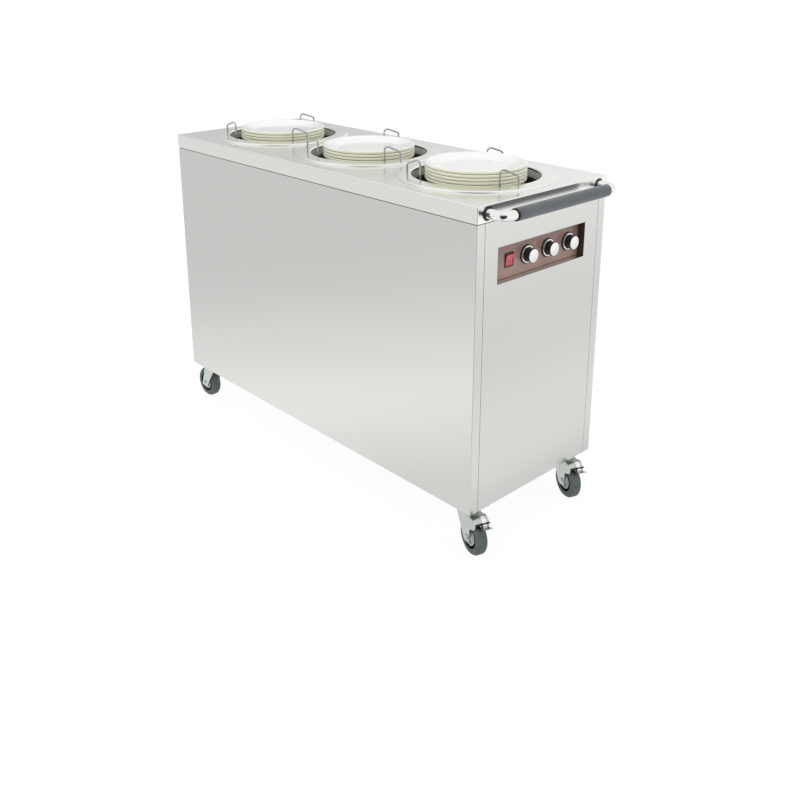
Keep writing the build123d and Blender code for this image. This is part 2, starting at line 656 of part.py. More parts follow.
def caster_fork(number, braked):
    """The swivelling fork of a caster and its axle bolt."""
    axle_x, axle_z = CASTER_TRAIL, WHEEL_RADIUS
    cheek = fork_cheek(braked)
    fork = plate_xz(cheek, -FORK_OUTER, -FORK_INNER) + plate_xz(cheek, FORK_INNER, FORK_OUTER)
    fork += block(-FORK_HALF_LENGTH, FORK_HALF_LENGTH, -FORK_OUTER, FORK_OUTER,
                  CROWN_TOP - CROWN_SHEET, CROWN_TOP)
    boss_low = CROWN_TOP - CROWN_BOSS_HEIGHT
    fork += rod(CROWN_BOSS_RADIUS, (0, 0, boss_low), (0, 0, CROWN_TOP))
    fork -= rod(KINGPIN_RADIUS + RUNNING_FIT, (0, 0, boss_low - 1), (0, 0, CROWN_TOP + 1))
    fork -= rod(AXLE_RADIUS, (axle_x, -FORK_OUTER - 1, axle_z), (axle_x, FORK_OUTER + 1, axle_z))
    if braked:
        x, z = BRAKE_PIN
        fork += brake_housing()
        fork += rod(BRAKE_PIN_RADIUS, (x, -FORK_OUTER, z), (x, FORK_OUTER, z))
    bolt = rod(AXLE_RADIUS, (axle_x, -FORK_OUTER, axle_z), (axle_x, FORK_OUTER, axle_z))
    for side in (-1, 1):
        bolt += rod(AXLE_HEAD, (axle_x, side * FORK_OUTER, axle_z),
                    (axle_x, side * (FORK_OUTER + AXLE_HEAD_HEIGHT), axle_z))
    return placed(number, fork), placed(number, bolt)


def wheel_hub(number):
    """The hub: a boss on the axle, a web and a rim."""
    half = HUB_WIDTH / 2
    bore = AXLE_RADIUS + RUNNING_FIT
    rim_inner = TYRE_INNER - HUB_RIM
    hub = turned([
        (bore, -half), (HUB_BOSS, -half), (HUB_BOSS + 2, -HUB_WEB), (rim_inner - 1, -HUB_WEB),
        (rim_inner, -TYRE_SEAT), (TYRE_INNER, -TYRE_SEAT), (TYRE_INNER, TYRE_SEAT),
        (rim_inner, TYRE_SEAT), (rim_inner - 1, HUB_WEB), (HUB_BOSS + 2, HUB_WEB),
        (HUB_BOSS, half), (bore, half),
    ])
    return placed(number, Pos(CASTER_TRAIL, 0, WHEEL_RADIUS) * along_y(hub))


def tyre(number):
    """The solid rubber tyre with a rounded tread and a step on each side."""
    half = TYRE_WIDTH / 2
    ring = turned([
        (TYRE_INNER, -TYRE_SEAT), (TYRE_STEP, -TYRE_SEAT), (TYRE_STEP, -half),
        (WHEEL_RADIUS, -half), (WHEEL_RADIUS, half), (TYRE_STEP, half),
        (TYRE_STEP, TYRE_SEAT), (TYRE_INNER, TYRE_SEAT),
    ])
    tread = ring.edges().filter_by(GeomType.CIRCLE).filter_by(
        lambda e: abs(e.radius - WHEEL_RADIUS) < 0.01)
    ring = fillet(tread, TREAD_ROUND)
    return placed(number, Pos(CASTER_TRAIL, 0, WHEEL_RADIUS) * along_y(ring))


def brake_pedal(number):
    """The foot pedal: a sleeve on its pin, a press tab, a release tab and the brake block."""
    reach = 2 * PEDAL_HALF_WIDTH
    press = Polygon((2, -6), (12, -3), (reach + 6, 8), (reach + 6, 11), (11, 0), (2, 5), align=None)
    release = Polygon((-2, 5), (5, 0), (23, 15), (21, 18), (4, 6), align=None)
    shoe = Polygon((0, -3), (12, -2), (14, -8), (6, -10), align=None)
    pedal = plate_xz(press + Circle(PEDAL_SLEEVE), -PEDAL_HALF_WIDTH, PEDAL_HALF_WIDTH)
    pedal += plate_xz(release, 0, PEDAL_HALF_WIDTH)
    pedal += plate_xz(shoe, -PEDAL_HALF_WIDTH + 4, PEDAL_HALF_WIDTH - 4)
    pedal -= rod(BRAKE_PIN_RADIUS + RUNNING_FIT, (0, -PEDAL_HALF_WIDTH - 1, 0),
                 (0, PEDAL_HALF_WIDTH + 1, 0))
    x, z = BRAKE_PIN
    return placed(number, Pos(x, 0, z) * pedal)


# ---- fasteners ----
def rear_screws(cut):
    """The rear panel's screws, or with cut the holes for their shanks."""
    screws = []
    for y in (-SCREW_Y, SCREW_Y):
        for z in SCREW_ZS:
            shank = rod(SCREW_RADIUS, (-inner_end() + SCREW_REACH, y, z), (-PANEL_END, y, z))
            head = rod(SCREW_HEAD, (-PANEL_END, y, z), (-PANEL_END - SCREW_HEAD_HEIGHT, y, z))
            screws.append(shank if cut else shank + head)
    return screws


# ---- write every node ----
os.makedirs("parts", exist_ok=True)

save("top_deck", top_deck())
save("base_pan", base_pan())
for side, name in ((-1, "front"), (1, "back")):
    panel = side_panel(side)
    for hole in rear_screws(cut=True):
        panel -= hole
    save(f"side_panel_{name}", panel)
save("end_panel_control", end_panel(1) - recess_box(inner_end() - 1, PANEL_END + 1, 0))
rear = end_panel(-1) - rod(GLAND_RADIUS, (-inner_end() + 1, INLET_Y, INLET_Z),
                           (-PANEL_END - 1, INLET_Y, INLET_Z))
for hole in rear_screws(cut=True):
    rear -= hole
save("end_panel_rear", rear)

for number, (well, count) in enumerate(zip(WELL_XS, PLATE_COUNTS), start=1):
    save(f"well_ring_{number}", well_ring(well))
    save(f"well_barrel_{number}", *well_barrel(well))
    save(f"platform_{number}", platform(well))
    save(f"lift_spring_{number}", lift_spring(well))
    save(f"plates_{number}", *(plate(well, level) for level in range(count)))
    for letter, angle, turn in zip("abc", WIRE_ANGLES, WIRE_TURNS):
        save(f"plate_guide_{number}{letter}", plate_guide(well, angle, turn))
save("heating_elements", *(heating_element(well) for well in WELL_XS))
save("guide_sockets", *(guide_socket(well, angle) for well in WELL_XS for angle in WIRE_ANGLES))

save("control_recess", control_recess())
save("control_faceplate", control_faceplate())
save("thermostats", *(thermostat(y) for y in KNOB_YS))
for number, y in enumerate(KNOB_YS, start=1):
    save(f"knob_{number}", knob(y))
save("switch_housing", switch_housing())
save("switch_rocker", switch_rocker())
save("terminal_box", terminal_box())
save("cable_gland", cable_gland())

save("handle_tube", handle_tube())
save("handle_grip", handle_grip())

save("caster_plates", *(caster_plate(number) for number in range(4)))
for number in range(4):
    braked = CASTERS[number][0] > 0
    save(f"caster_fork_{number + 1}", *caster_fork(number, braked))
    save(f"wheel_hub_{number + 1}", wheel_hub(number))
    save(f"tyre_{number + 1}", tyre(number))
    if braked:
        save(f"brake_pedal_{number + 1}", brake_pedal(number))
save("fasteners", *(caster_bolt(x, y) for x, y in bolt_places()), *rear_screws(cut=False))
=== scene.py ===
# %% [markdown]
# # A heated plate dispenser, dressed for its picture
#
# The construction comes ready made: every piece of the cart is already in its place, at its real
# size, in metres. This lesson gives the cart its looks. It models the visible pieces again with
# soft edges and round sections, one small step at a time, and gives every surface a finish.

# %% Load the frame
import json
import math

import bpy
from mathutils import Matrix, Vector


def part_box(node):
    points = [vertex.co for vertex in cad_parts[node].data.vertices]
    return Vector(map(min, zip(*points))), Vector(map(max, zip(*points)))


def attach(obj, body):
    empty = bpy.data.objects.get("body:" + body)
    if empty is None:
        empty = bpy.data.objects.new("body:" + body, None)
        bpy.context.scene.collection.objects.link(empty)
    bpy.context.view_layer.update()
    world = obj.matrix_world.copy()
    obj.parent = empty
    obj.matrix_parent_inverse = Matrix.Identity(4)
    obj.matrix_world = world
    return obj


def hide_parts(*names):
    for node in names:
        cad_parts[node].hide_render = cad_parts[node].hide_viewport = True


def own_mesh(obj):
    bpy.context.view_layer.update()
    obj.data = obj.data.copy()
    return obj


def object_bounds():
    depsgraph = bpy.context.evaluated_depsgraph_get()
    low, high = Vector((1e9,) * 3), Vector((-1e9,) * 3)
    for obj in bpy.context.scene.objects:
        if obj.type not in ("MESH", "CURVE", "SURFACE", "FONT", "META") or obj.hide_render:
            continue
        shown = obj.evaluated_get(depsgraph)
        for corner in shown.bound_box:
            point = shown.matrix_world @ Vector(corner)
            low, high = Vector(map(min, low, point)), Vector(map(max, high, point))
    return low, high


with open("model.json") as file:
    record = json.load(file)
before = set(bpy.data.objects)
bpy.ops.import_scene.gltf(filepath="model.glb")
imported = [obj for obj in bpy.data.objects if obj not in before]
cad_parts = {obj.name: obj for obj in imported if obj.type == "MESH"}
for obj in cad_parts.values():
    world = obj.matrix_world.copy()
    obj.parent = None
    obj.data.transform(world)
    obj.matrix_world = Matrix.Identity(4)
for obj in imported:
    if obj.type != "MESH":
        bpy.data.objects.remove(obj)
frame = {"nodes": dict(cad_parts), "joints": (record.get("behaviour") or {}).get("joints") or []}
nodes = frame["nodes"]
cad_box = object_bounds()
print("the cart measures", [round(high - low, 3) for low, high in zip(*cad_box)])

# %% [markdown]
# ## The camera
#
# The cart is seen from the handle end, a little above its deck. A real photographer would stand
# about three metres away with a medium lens and drop the picture a little with a shift lens, so
# that the upright edges stay nearly upright. The same numbers describe that camera here.

# %% Place the camera
CAMERA_PLACE = (1.9944, -1.7614, 1.4459)
CAMERA_DIP = 0.2957
CAMERA_TURN = 0.8178
CAMERA_LENS = 41.69
CAMERA_SHIFT = -0.1875

bpy.ops.object.camera_add(
    location=CAMERA_PLACE,
    rotation=(math.pi / 2 - CAMERA_DIP, 0, CAMERA_TURN),
)
camera = bpy.context.object
camera.data.lens = CAMERA_LENS
camera.data.sensor_width = 36
camera.data.shift_y = CAMERA_SHIFT
bpy.context.scene.camera = camera
print("camera lens", camera.data.lens)

# %% [markdown]
# ## The studio
#
# The cart stands on a seamless white sweep. Polished steel shows whatever surrounds it, so the
# studio matters more than any lamp: a white surround gives pale steel, and the few greyer places
# in it give the steel its shape. One of them is the corner of the room behind the photographer,
# up to a third of the way overhead.
#
# A node tree is long to write out, so three helpers do it: one adds a node, one adds the node that
# carries a value from one range to another, and one joins sockets by their names or numbers.


# %% Helpers for node trees
def new_node(tree, kind, sockets=None, **settings):
    """Add a shader node, with its settings and some of its sockets set."""
    node = tree.nodes.new("ShaderNode" + kind)
    for name, value in settings.items():
        setattr(node, name, value)
    for name, value in (sockets or {}).items():
        node.inputs[name].default_value = value
    return node


def carry(tree, start, end, low=0.0, high=1.0):
    """Carry the values from start to end over to low to high."""
    limits = {"From Min": start, "From Max": end, "To Min": low, "To Max": high}
    return new_node(tree, "MapRange", limits)


def wire(tree, *links):
    """Join (node, output, node, input) sockets."""
    for source, output, target, socket in links:
        tree.links.new(source.outputs[output], target.inputs[socket])


def grey(shade):
    return (shade, shade, shade, 1)


# %% The white surround
LOW_SKY = (0.58, 0.88)
HIGH_SKY = 0.9
ROOM_CORNER = 0.4
SOFT_LIGHT = 0.68
world = bpy.data.worlds.new("studio_surround")
world.use_nodes = True
bpy.context.scene.world = world
surround = world.node_tree
surround.nodes.clear()
ray = new_node(surround, "LightPath")
white = new_node(surround, "Background", {"Color": grey(1)})
mirrored = new_node(surround, "Background", {"Color": grey(1)})
soft = new_node(surround, "Background", {"Color": (0.98, 0.98, 1, 1), "Strength": SOFT_LIGHT})
direction = new_node(surround, "TexCoord")
parts = new_node(surround, "SeparateXYZ")
across = carry(surround, -0.78, -0.56, *LOW_SKY)
climb = carry(surround, 0.25, 0.6, high=HIGH_SKY)
from_x = carry(surround, 0.22, 0.4)
from_y = carry(surround, -0.3, -0.5)
under = carry(surround, 0.62, 0.52)
room = new_node(surround, "Math", operation="MULTIPLY")
low_room = new_node(surround, "Math", operation="MULTIPLY")
dimmed = new_node(surround, "Mix", {3: ROOM_CORNER})
gloss, clear, eye = (new_node(surround, "MixShader") for _ in range(3))
out = new_node(surround, "OutputWorld")
wire(
    surround,
    (direction, "Generated", parts, 0),
    (parts, "X", across, "Value"), (across, "Result", climb, "To Min"),
    (parts, "Z", climb, "Value"), (parts, "Z", under, "Value"),
    (parts, "X", from_x, "Value"), (parts, "Y", from_y, "Value"),
    (from_x, "Result", room, 0), (from_y, "Result", room, 1),
    (room, 0, low_room, 0), (under, "Result", low_room, 1),
    (low_room, 0, dimmed, 0), (climb, "Result", dimmed, 2), (dimmed, 0, mirrored, "Strength"),
    (ray, "Is Glossy Ray", gloss, 0), (soft, 0, gloss, 1), (mirrored, 0, gloss, 2),
    (ray, "Is Transmission Ray", clear, 0), (gloss, 0, clear, 1), (white, 0, clear, 2),
    (ray, "Is Camera Ray", eye, 0), (clear, 0, eye, 1), (white, 0, eye, 2),
    (eye, 0, out, "Surface"),
)
bpy.context.scene.view_settings.view_transform = "Standard"
print("low sky in the steel", LOW_SKY)

# %% [markdown]
# The floor looks white to the camera and still takes a soft shadow. The steel sees another floor,
# bright a step away from the cart and greyer close to it and far off, as where a low lamp lights
# one patch of the sweep. That patch is what makes a flat sheet of steel look like steel. A wedge
# of the floor towards the photographer is dark, and only rounded steel sees it.


# %% What the floor needs
def stage_material(name):
    """A material for the stage, with an empty node tree."""
    material = bpy.data.materials.new(name)
    material.use_nodes = True
    material.node_tree.nodes.clear()
    return material


def grey_ramp(tree, *stops):
    """A ramp of greys, one for each (place, grey) stop."""
    ramp = new_node(tree, "ValToRGB")
    ramp.color_ramp.interpolation = "EASE"
    elements = ramp.color_ramp.elements
    while len(elements) < len(stops):
        elements.new(0.5)
    for element, (reach, shade) in zip(elements, stops):
        element.position = reach
        element.color = grey(shade)
    return ramp


FLOOR_SIZE = 40.0
SIDE_Y = cad_box[0].y
END_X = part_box("side_panel_front")[1].x
PATCH_SLANT = -1.4
PATCH_POWER = 1.1
PAPER = 0.9
GLOW = 1.05
GLOW_SHARE = 0.88
DARK_FLOOR = 0.04
DARK_WEDGE = 0.35
print("the floor's pattern starts at", round(SIDE_Y, 3), "and", round(END_X, 3))

# %% The floor
bpy.ops.mesh.primitive_plane_add(size=FLOOR_SIZE)
floor = bpy.context.object
floor.name = "studio_floor"
sweep = stage_material("white_sweep")
tree = sweep.node_tree
ray = new_node(tree, "LightPath")
paper = new_node(tree, "BsdfDiffuse", {"Color": grey(PAPER)})
glow = new_node(tree, "Emission", {"Strength": GLOW})
seen_white = new_node(tree, "MixShader")
camera_share = new_node(tree, "Math", {1: GLOW_SHARE}, operation="MULTIPLY")
place = new_node(tree, "TexCoord")
parts = new_node(tree, "SeparateXYZ")
toward = new_node(tree, "Math", {0: 2 * SIDE_Y}, operation="SUBTRACT")
from_side = new_node(tree, "Math", {1: PATCH_SLANT}, operation="MULTIPLY_ADD")
side_reach = carry(tree, SIDE_Y - 0.2, SIDE_Y + 3.1)
side_grey = grey_ramp(tree, (0, 0.76), (0.12, 0.855), (0.24, 0.945), (0.32, 0.945), (0.56, 0.84),
                      (0.87, 0.725), (1, 0.69))
end_reach = carry(tree, END_X + 0.15, END_X + 2.2)
end_grey = grey_ramp(tree, (0, 0.71), (0.06, 0.85), (0.17, 0.85), (0.32, 0.75), (0.56, 0.75),
                     (0.75, 0.83), (1, 0.95))
past_end = carry(tree, END_X - 0.1, END_X + 0.1)
level = new_node(tree, "Mix", data_type="RGBA")
wedge_x = END_X + DARK_WEDGE * SIDE_Y
wedge_y = SIDE_Y + DARK_WEDGE * END_X
lean_x = new_node(tree, "Math", {1: DARK_WEDGE}, operation="MULTIPLY_ADD")
lean_y = new_node(tree, "Math", {1: DARK_WEDGE}, operation="MULTIPLY_ADD")
corner_x = carry(tree, wedge_x + 0.05, wedge_x + 0.35)
corner_y = carry(tree, wedge_y - 0.05, wedge_y - 0.35)
corner = new_node(tree, "Math", operation="MULTIPLY")
shaded = new_node(tree, "Mix", data_type="RGBA")
shaded.inputs[7].default_value = grey(DARK_FLOOR)
mirrored = new_node(tree, "Emission", {"Strength": PATCH_POWER})
seen_mirrored = new_node(tree, "MixShader")
out = new_node(tree, "OutputMaterial")
wire(
    tree,
    (place, "Object", parts, 0),
    (parts, "X", from_side, 0), (parts, "Y", toward, 1), (toward, 0, from_side, 2),
    (from_side, 0, side_reach, "Value"), (side_reach, "Result", side_grey, "Fac"),
    (parts, "X", end_reach, "Value"), (end_reach, "Result", end_grey, "Fac"),
    (parts, "X", past_end, "Value"), (past_end, "Result", level, 0),
    (side_grey, "Color", level, 6), (end_grey, "Color", level, 7),
    (parts, "Y", lean_x, 0), (parts, "X", lean_x, 2), (lean_x, 0, corner_x, "Value"),
    (parts, "X", lean_y, 0), (parts, "Y", lean_y, 2), (lean_y, 0, corner_y, "Value"),
    (corner_x, "Result", corner, 0), (corner_y, "Result", corner, 1),
    (corner, 0, shaded, 0), (level, 2, shaded, 6), (shaded, 2, mirrored, "Color"),
    (ray, "Is Camera Ray", camera_share, 0), (camera_share, 0, seen_white, 0),
    (paper, 0, seen_white, 1), (glow, 0, seen_white, 2),
    (ray, "Is Glossy Ray", seen_mirrored, 0), (seen_white, 0, seen_mirrored, 1),
    (mirrored, 0, seen_mirrored, 2), (seen_mirrored, 0, out, "Surface"),
)
floor.data.materials.append(sweep)
print("floor", FLOOR_SIZE, "m wide")

# %% [markdown]
# A small black card stands off the corner of the handle, where only the curve of the tube can
# mirror it. It draws the black band that makes chrome look like chrome.

# %% The black card
CARD_SIZE = (0.34, 0.2)
CARD_PLACE = (1.0, -0.52, 0.95)
CARD_TURN = math.radians(45)
bpy.ops.mesh.primitive_plane_add(size=1, location=CARD_PLACE, rotation=(math.pi / 2, 0, CARD_TURN))
card = bpy.context.object
card.name = "black_card"
card.scale = (*CARD_SIZE, 1)
bpy.ops.object.transform_apply(location=True, rotation=True, scale=True)
felt = stage_material("black_felt")
dull = new_node(felt.node_tree, "Emission", {"Color": grey(0), "Strength": 0.0})
wire(felt.node_tree, (dull, 0, new_node(felt.node_tree, "OutputMaterial"), "Surface"))
card.data.materials.append(felt)
card.visible_camera = card.visible_diffuse = card.visible_shadow = False
card.visible_transmission = card.visible_volume_scatter = False
print("card", CARD_SIZE[0], "m wide")


# %% Lamps
def softbox(name, place, size, power):
    """A square lamp that looks at the middle of the cart, which the steel doesn't mirror."""
    bpy.ops.object.light_add(type="AREA", location=place)
    lamp = bpy.context.object
    lamp.name = name
    lamp.data.size = size
    lamp.data.energy = power
    aim = Vector((0, 0, 0.5)) - Vector(place)
    lamp.rotation_euler = aim.to_track_quat("-Z", "Y").to_euler()
    lamp.visible_glossy = False


softbox("key_softbox", (1.2, -3.2, 3.4), 2.4, 46)
softbox("fill_softbox", (3.4, 1.6, 2.6), 2.0, 23)
softbox("top_softbox", (-1.0, 0.6, 4.0), 2.5, 29)

# %% [markdown]
# ## The finishes
#
# Every finish starts as one principled shader. What makes it look real is what varies: a little
# grain in the height, a little unevenness in the gloss. Both come from noise that is read in the
# object's own coordinates, so the pattern stays on the piece from every side.


def new_finish(name, slot, colour, metallic, roughness, **others):
    """One principled shader with its plain colour, metalness, roughness and other sockets."""
    finish = bpy.data.materials.new(name)
    finish.use_nodes = True
    sockets = {"Base Color": (*colour, 1), "Metallic": metallic, "Roughness": roughness}
    sockets.update({key.replace("_", " "): value for key, value in others.items()})
    for key, value in sockets.items():
        shader_of(finish).inputs[key].default_value = value
    return finish


def shader_of(finish):
    return finish.node_tree.nodes["Principled BSDF"]


def add_noise(finish, scale, detail=3.0, stretch=(1, 1, 1)):
    """Noise in object coordinates, stretched along an axis where its number is small."""
    tree = finish.node_tree
    place = new_node(tree, "TexCoord")
    mapping = new_node(tree, "Mapping", {"Scale": stretch})
    noise = new_node(tree, "TexNoise", {"Scale": scale, "Detail": detail})
    wire(tree, (place, "Object", mapping, "Vector"), (mapping, "Vector", noise, "Vector"))
    return noise


def vary_roughness(finish, scale, low, high, **noise_settings):
    """Let noise carry the roughness between two values."""
    noise = add_noise(finish, scale, **noise_settings)
    spread = carry(finish.node_tree, 0, 1, low, high)
    wire(finish.node_tree, (noise, "Fac", spread, "Value"),
         (spread, "Result", shader_of(finish), "Roughness"))


def two_tone(tree, first, second, start=0.0, end=1.0):
    """A ramp from one colour to another."""
    ramp = new_node(tree, "ValToRGB")
    for element, place, colour in zip(ramp.color_ramp.elements, (start, end), (first, second)):
        element.position = place
        element.color = (*colour, 1)
    return ramp


def vary_colour(finish, scale, dark, light):
    """Let noise carry the colour between two close shades."""
    noise = add_noise(finish, scale)
    ramp = two_tone(finish.node_tree, dark, light, 0.3, 0.7)
    wire(finish.node_tree, (noise, "Fac", ramp, "Fac"),
         (ramp, "Color", shader_of(finish), "Base Color"))


def emboss(finish, scale, height):
    """Raise the surface by noise, at most this many metres."""
    noise = add_noise(finish, scale)
    bump = new_node(finish.node_tree, "Bump", {"Distance": height})
    wire(finish.node_tree, (noise, "Fac", bump, "Height"),
         (bump, "Normal", shader_of(finish), "Normal"))


# %% Steel
# A sheet's grain runs one way: the small number in the stretch is the way that it runs.
GRAIN_ALONG_X = (4.0, 500.0, 500.0)
GRAIN_ALONG_Y = (500.0, 4.0, 500.0)


def satin_steel(name, slot, shade, grain, low, high):
    """Stainless sheet, a little warm, with a fine grain that runs one way."""
    steel = new_finish(name, slot, (shade, shade * 1.005, shade * 0.975), 1.0, low)
    vary_roughness(steel, 1.0, low, high, detail=2.0, stretch=grain)
    return steel


SIDE_STEEL = satin_steel("side_steel", "panel_steel", 0.76, GRAIN_ALONG_X, 0.22, 0.28)
END_STEEL = satin_steel("end_steel", "panel_steel", 0.76, GRAIN_ALONG_Y, 0.22, 0.28)
DECK_STEEL = satin_steel("deck_steel", "panel_steel", 0.94, GRAIN_ALONG_X, 0.18, 0.26)
WELL_STEEL = satin_steel("well_steel", "well_steel", 0.42, GRAIN_ALONG_Y, 0.3, 0.45)
COLLAR_STEEL = satin_steel("collar_steel", "polished_steel", 0.96, GRAIN_ALONG_X, 0.18, 0.26)
NECK_STEEL = satin_steel("neck_steel", "polished_steel", 0.75, GRAIN_ALONG_Y, 0.4, 0.5)
shader_of(NECK_STEEL).inputs["Metallic"].default_value = 0.2
WIRE_STEEL = satin_steel("wire_steel", "polished_steel", 0.55, GRAIN_ALONG_X, 0.16, 0.26)

POLISHED = new_finish("polished_steel", "polished_steel", (0.95, 0.95, 0.94), 1.0, 0.07)
vary_roughness(POLISHED, 40.0, 0.05, 0.11)

SPRING = new_finish("spring_steel", "spring_steel", (0.4, 0.4, 0.41), 1.0, 0.35)
vary_roughness(SPRING, 120.0, 0.28, 0.42)

ZINC = new_finish("zinc_plate", "zinc_plate", (0.61, 0.66, 0.62), 1.0, 0.3)
vary_roughness(ZINC, 60.0, 0.22, 0.42, detail=5.0)
emboss(ZINC, 350.0, 0.00002)

HEATER = new_finish("heater_sheath", None, (0.2, 0.17, 0.15), 1.0, 0.5)
vary_colour(HEATER, 30.0, (0.12, 0.1, 0.09), (0.26, 0.22, 0.2))
print("steels", [m.name for m in bpy.data.materials if "steel" in m.name])

# %% [markdown]
# Glaze is white clay under a clear glassy coat. The rims look creamier than the tops, because
# the glaze thins over an edge, so the colour follows how far the surface faces upwards.

# %% Glaze
GLAZE_WHITE = (0.9, 0.9, 0.87)
GLAZE_CREAM = (0.92, 0.92, 0.68)
GLAZE = new_finish("plate_glaze", "plate_glaze", GLAZE_WHITE, 0.0, 0.12,
                   Coat_Weight=0.6, Coat_Roughness=0.05)
tree = GLAZE.node_tree
surface = new_node(tree, "NewGeometry")
parts = new_node(tree, "SeparateXYZ")
upward = two_tone(tree, GLAZE_CREAM, GLAZE_WHITE, 0.35, 0.85)
wire(tree, (surface, "Normal", parts, 0), (parts, "Z", upward, "Fac"),
     (upward, "Color", shader_of(GLAZE), "Base Color"))
vary_roughness(GLAZE, 30.0, 0.08, 0.16)
emboss(GLAZE, 60.0, 0.00008)
print(GLAZE.name)

# %% [markdown]
# The control plate is maroon, with a painted shade and a painted reflection in its colour: darker
# at the top, where the tray above shades it, and a lighter brown at its foot, where it mirrors the
# bright floor. The fade is a little mottled.

# %% The control plate
CONTROL = new_finish("control_plate", "control_plate", (0.2, 0.11, 0.09), 0.0, 0.3,
                     Coat_Weight=0.4)
# Painted light: the dark end is painted shade at the top, the brown end a painted reflection of the
# floor at the foot.
SHADED_TOP_MAROON = (0.11, 0.05, 0.042)
FLOOR_LIT_BROWN = (0.47, 0.3, 0.25)
MOTTLE = 0.3
low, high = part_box("control_faceplate")
tree = CONTROL.node_tree
place = new_node(tree, "TexCoord")
parts = new_node(tree, "SeparateXYZ")
# Painted light: the colour runs from a painted shade at the top to a painted reflection of the
# floor at the foot.
painted_light_fade = carry(tree, high.z, low.z, 0.2, 0.75)
cloud = add_noise(CONTROL, 22.0, stretch=(1, 1, 2.5))
mottle = new_node(tree, "Math", {1: MOTTLE}, operation="MULTIPLY_ADD")
maroon = two_tone(tree, SHADED_TOP_MAROON, FLOOR_LIT_BROWN)
wire(tree, (place, "Object", parts, 0), (parts, "Z", painted_light_fade, "Value"),
     (cloud, "Fac", mottle, 0), (painted_light_fade, "Result", mottle, 2), (mottle, 0, maroon, "Fac"),
     (maroon, "Color", shader_of(CONTROL), "Base Color"))
emboss(CONTROL, 500.0, 0.00003)

# A dark brown for thin sheets on the tray's side walls: painted shade, where the walls fall into
# shadow.
PAINTED_SHADE_BROWN = new_finish("painted_shade_brown", "control_plate", (0.055, 0.033, 0.025), 0.0, 0.5)
vary_roughness(PAINTED_SHADE_BROWN, 200.0, 0.42, 0.58)
emboss(PAINTED_SHADE_BROWN, 500.0, 0.00003)
print(CONTROL.name, PAINTED_SHADE_BROWN.name)

# %% [markdown]
# Plastic and rubber get a fine skin: black with no skin at all looks like wet paint.

# %% Plastic and rubber
BLACK = new_finish("black_plastic", "black_plastic", (0.012, 0.012, 0.013), 0.0, 0.32)
vary_roughness(BLACK, 300.0, 0.26, 0.42)
emboss(BLACK, 900.0, 0.00002)

# A dead black for the ring in the wheel's groove: painted shade, where the groove falls into
# shadow.
GROOVE_SHADE = new_finish("painted_groove_shade", "black_plastic", (0.006, 0.007, 0.007), 0.0, 0.95,
                  Specular_IOR_Level=0.1)
emboss(GROOVE_SHADE, 900.0, 0.00002)

RED = new_finish("red_plastic", "red_plastic", (0.6, 0.04, 0.08), 0.0, 0.18, Coat_Weight=0.5)
vary_colour(RED, 80.0, (0.52, 0.03, 0.06), (0.66, 0.06, 0.1))

GRIP = new_finish("grip_rubber", "grip_rubber", (0.1, 0.11, 0.12), 0.0, 0.42,
                  Coat_Weight=0.4, Coat_Roughness=0.18)
vary_colour(GRIP, 14.0, (0.07, 0.08, 0.088), (0.1, 0.11, 0.12))
emboss(GRIP, 1100.0, 0.0001)

HUB = new_finish("hub_grey", "hub_grey", (0.5, 0.56, 0.52), 0.0, 0.4)
vary_colour(HUB, 50.0, (0.46, 0.52, 0.48), (0.55, 0.6, 0.57))
emboss(HUB, 600.0, 0.00003)

TYRE = new_finish("tyre_grey", "tyre_grey", (0.1, 0.125, 0.112), 0.0, 0.6)
vary_colour(TYRE, 40.0, (0.08, 0.105, 0.092), (0.12, 0.145, 0.132))
emboss(TYRE, 800.0, 0.00008)
print("finishes", len(bpy.data.materials))

# %% [markdown]
# ## The workbench
#
# A few moves are used again and again: draw a line, turn it into a round piece, fill it into a
# plate, bend a bar. Each starts from a primitive and is shaped in edit mode.

# Sizes are given in millimetres where a whole section is drawn.

# %% Millimetres
MM = 0.001


def mm(*corners, base=0.0):
    """Corners given in millimetres, as metres, with the second number above a base."""
    return [(a * MM, base + b * MM, c * MM) for a, b, c in corners]


print("one millimetre is", MM)


# %% Start, draw and round
DOUBLES = 0.002 * MM
ARC_STEP = math.radians(15)


def start_piece(kind, **settings):
    """Add one primitive with nothing else selected."""
    bpy.ops.object.select_all(action="DESELECT")
    getattr(bpy.ops.mesh, f"primitive_{kind}_add")(**settings)
    return bpy.context.object


def edit_mode(pick="VERT"):
    """Open the mesh, picking by points, edges or faces."""
    bpy.ops.object.mode_set(mode="EDIT")
    bpy.ops.mesh.select_mode(type=pick)


def object_mode():
    bpy.ops.object.mode_set(mode="OBJECT")


def fix_place():
    """Carry the place, turn and size of the active piece into its mesh."""
    bpy.ops.object.transform_apply(location=True, rotation=True, scale=True)


def pick(first, *others):
    """Select these pieces and nothing else, with the first one active."""
    bpy.ops.object.select_all(action="DESELECT")
    for piece in (first, *others):
        piece.select_set(True)
    bpy.context.view_layer.objects.active = first


def pick_faces(piece, wanted):
    """Open the mesh with only the wanted faces picked."""
    edit_mode("FACE")
    bpy.ops.mesh.select_all(action="DESELECT")
    object_mode()
    for face in piece.data.polygons:
        face.select = wanted(face)
    edit_mode("FACE")


def push(step):
    """Extrude what is selected along a step."""
    bpy.ops.mesh.extrude_region_move(TRANSFORM_OT_translate={"value": step})


def tidy_mesh():
    """Merge doubled points and turn every face outwards."""
    bpy.ops.mesh.select_all(action="SELECT")
    bpy.ops.mesh.remove_doubles(threshold=DOUBLES)
    bpy.ops.mesh.normals_make_consistent(inside=False)


def draw_line(points, closed):
    """Draw a chain of edges, one extrusion a step, and stay in edit mode."""
    start_piece("plane", size=0.01)
    edit_mode()
    bpy.ops.mesh.merge(type="CENTER")
    bpy.ops.transform.translate(value=points[0])
    after = points[1:] + points[:1] if closed else points[1:]
    for before, here in zip(points, after):
        push(Vector(here) - Vector(before))
    bpy.ops.mesh.select_all(action="SELECT")
    if closed:
        bpy.ops.mesh.remove_doubles(threshold=DOUBLES)


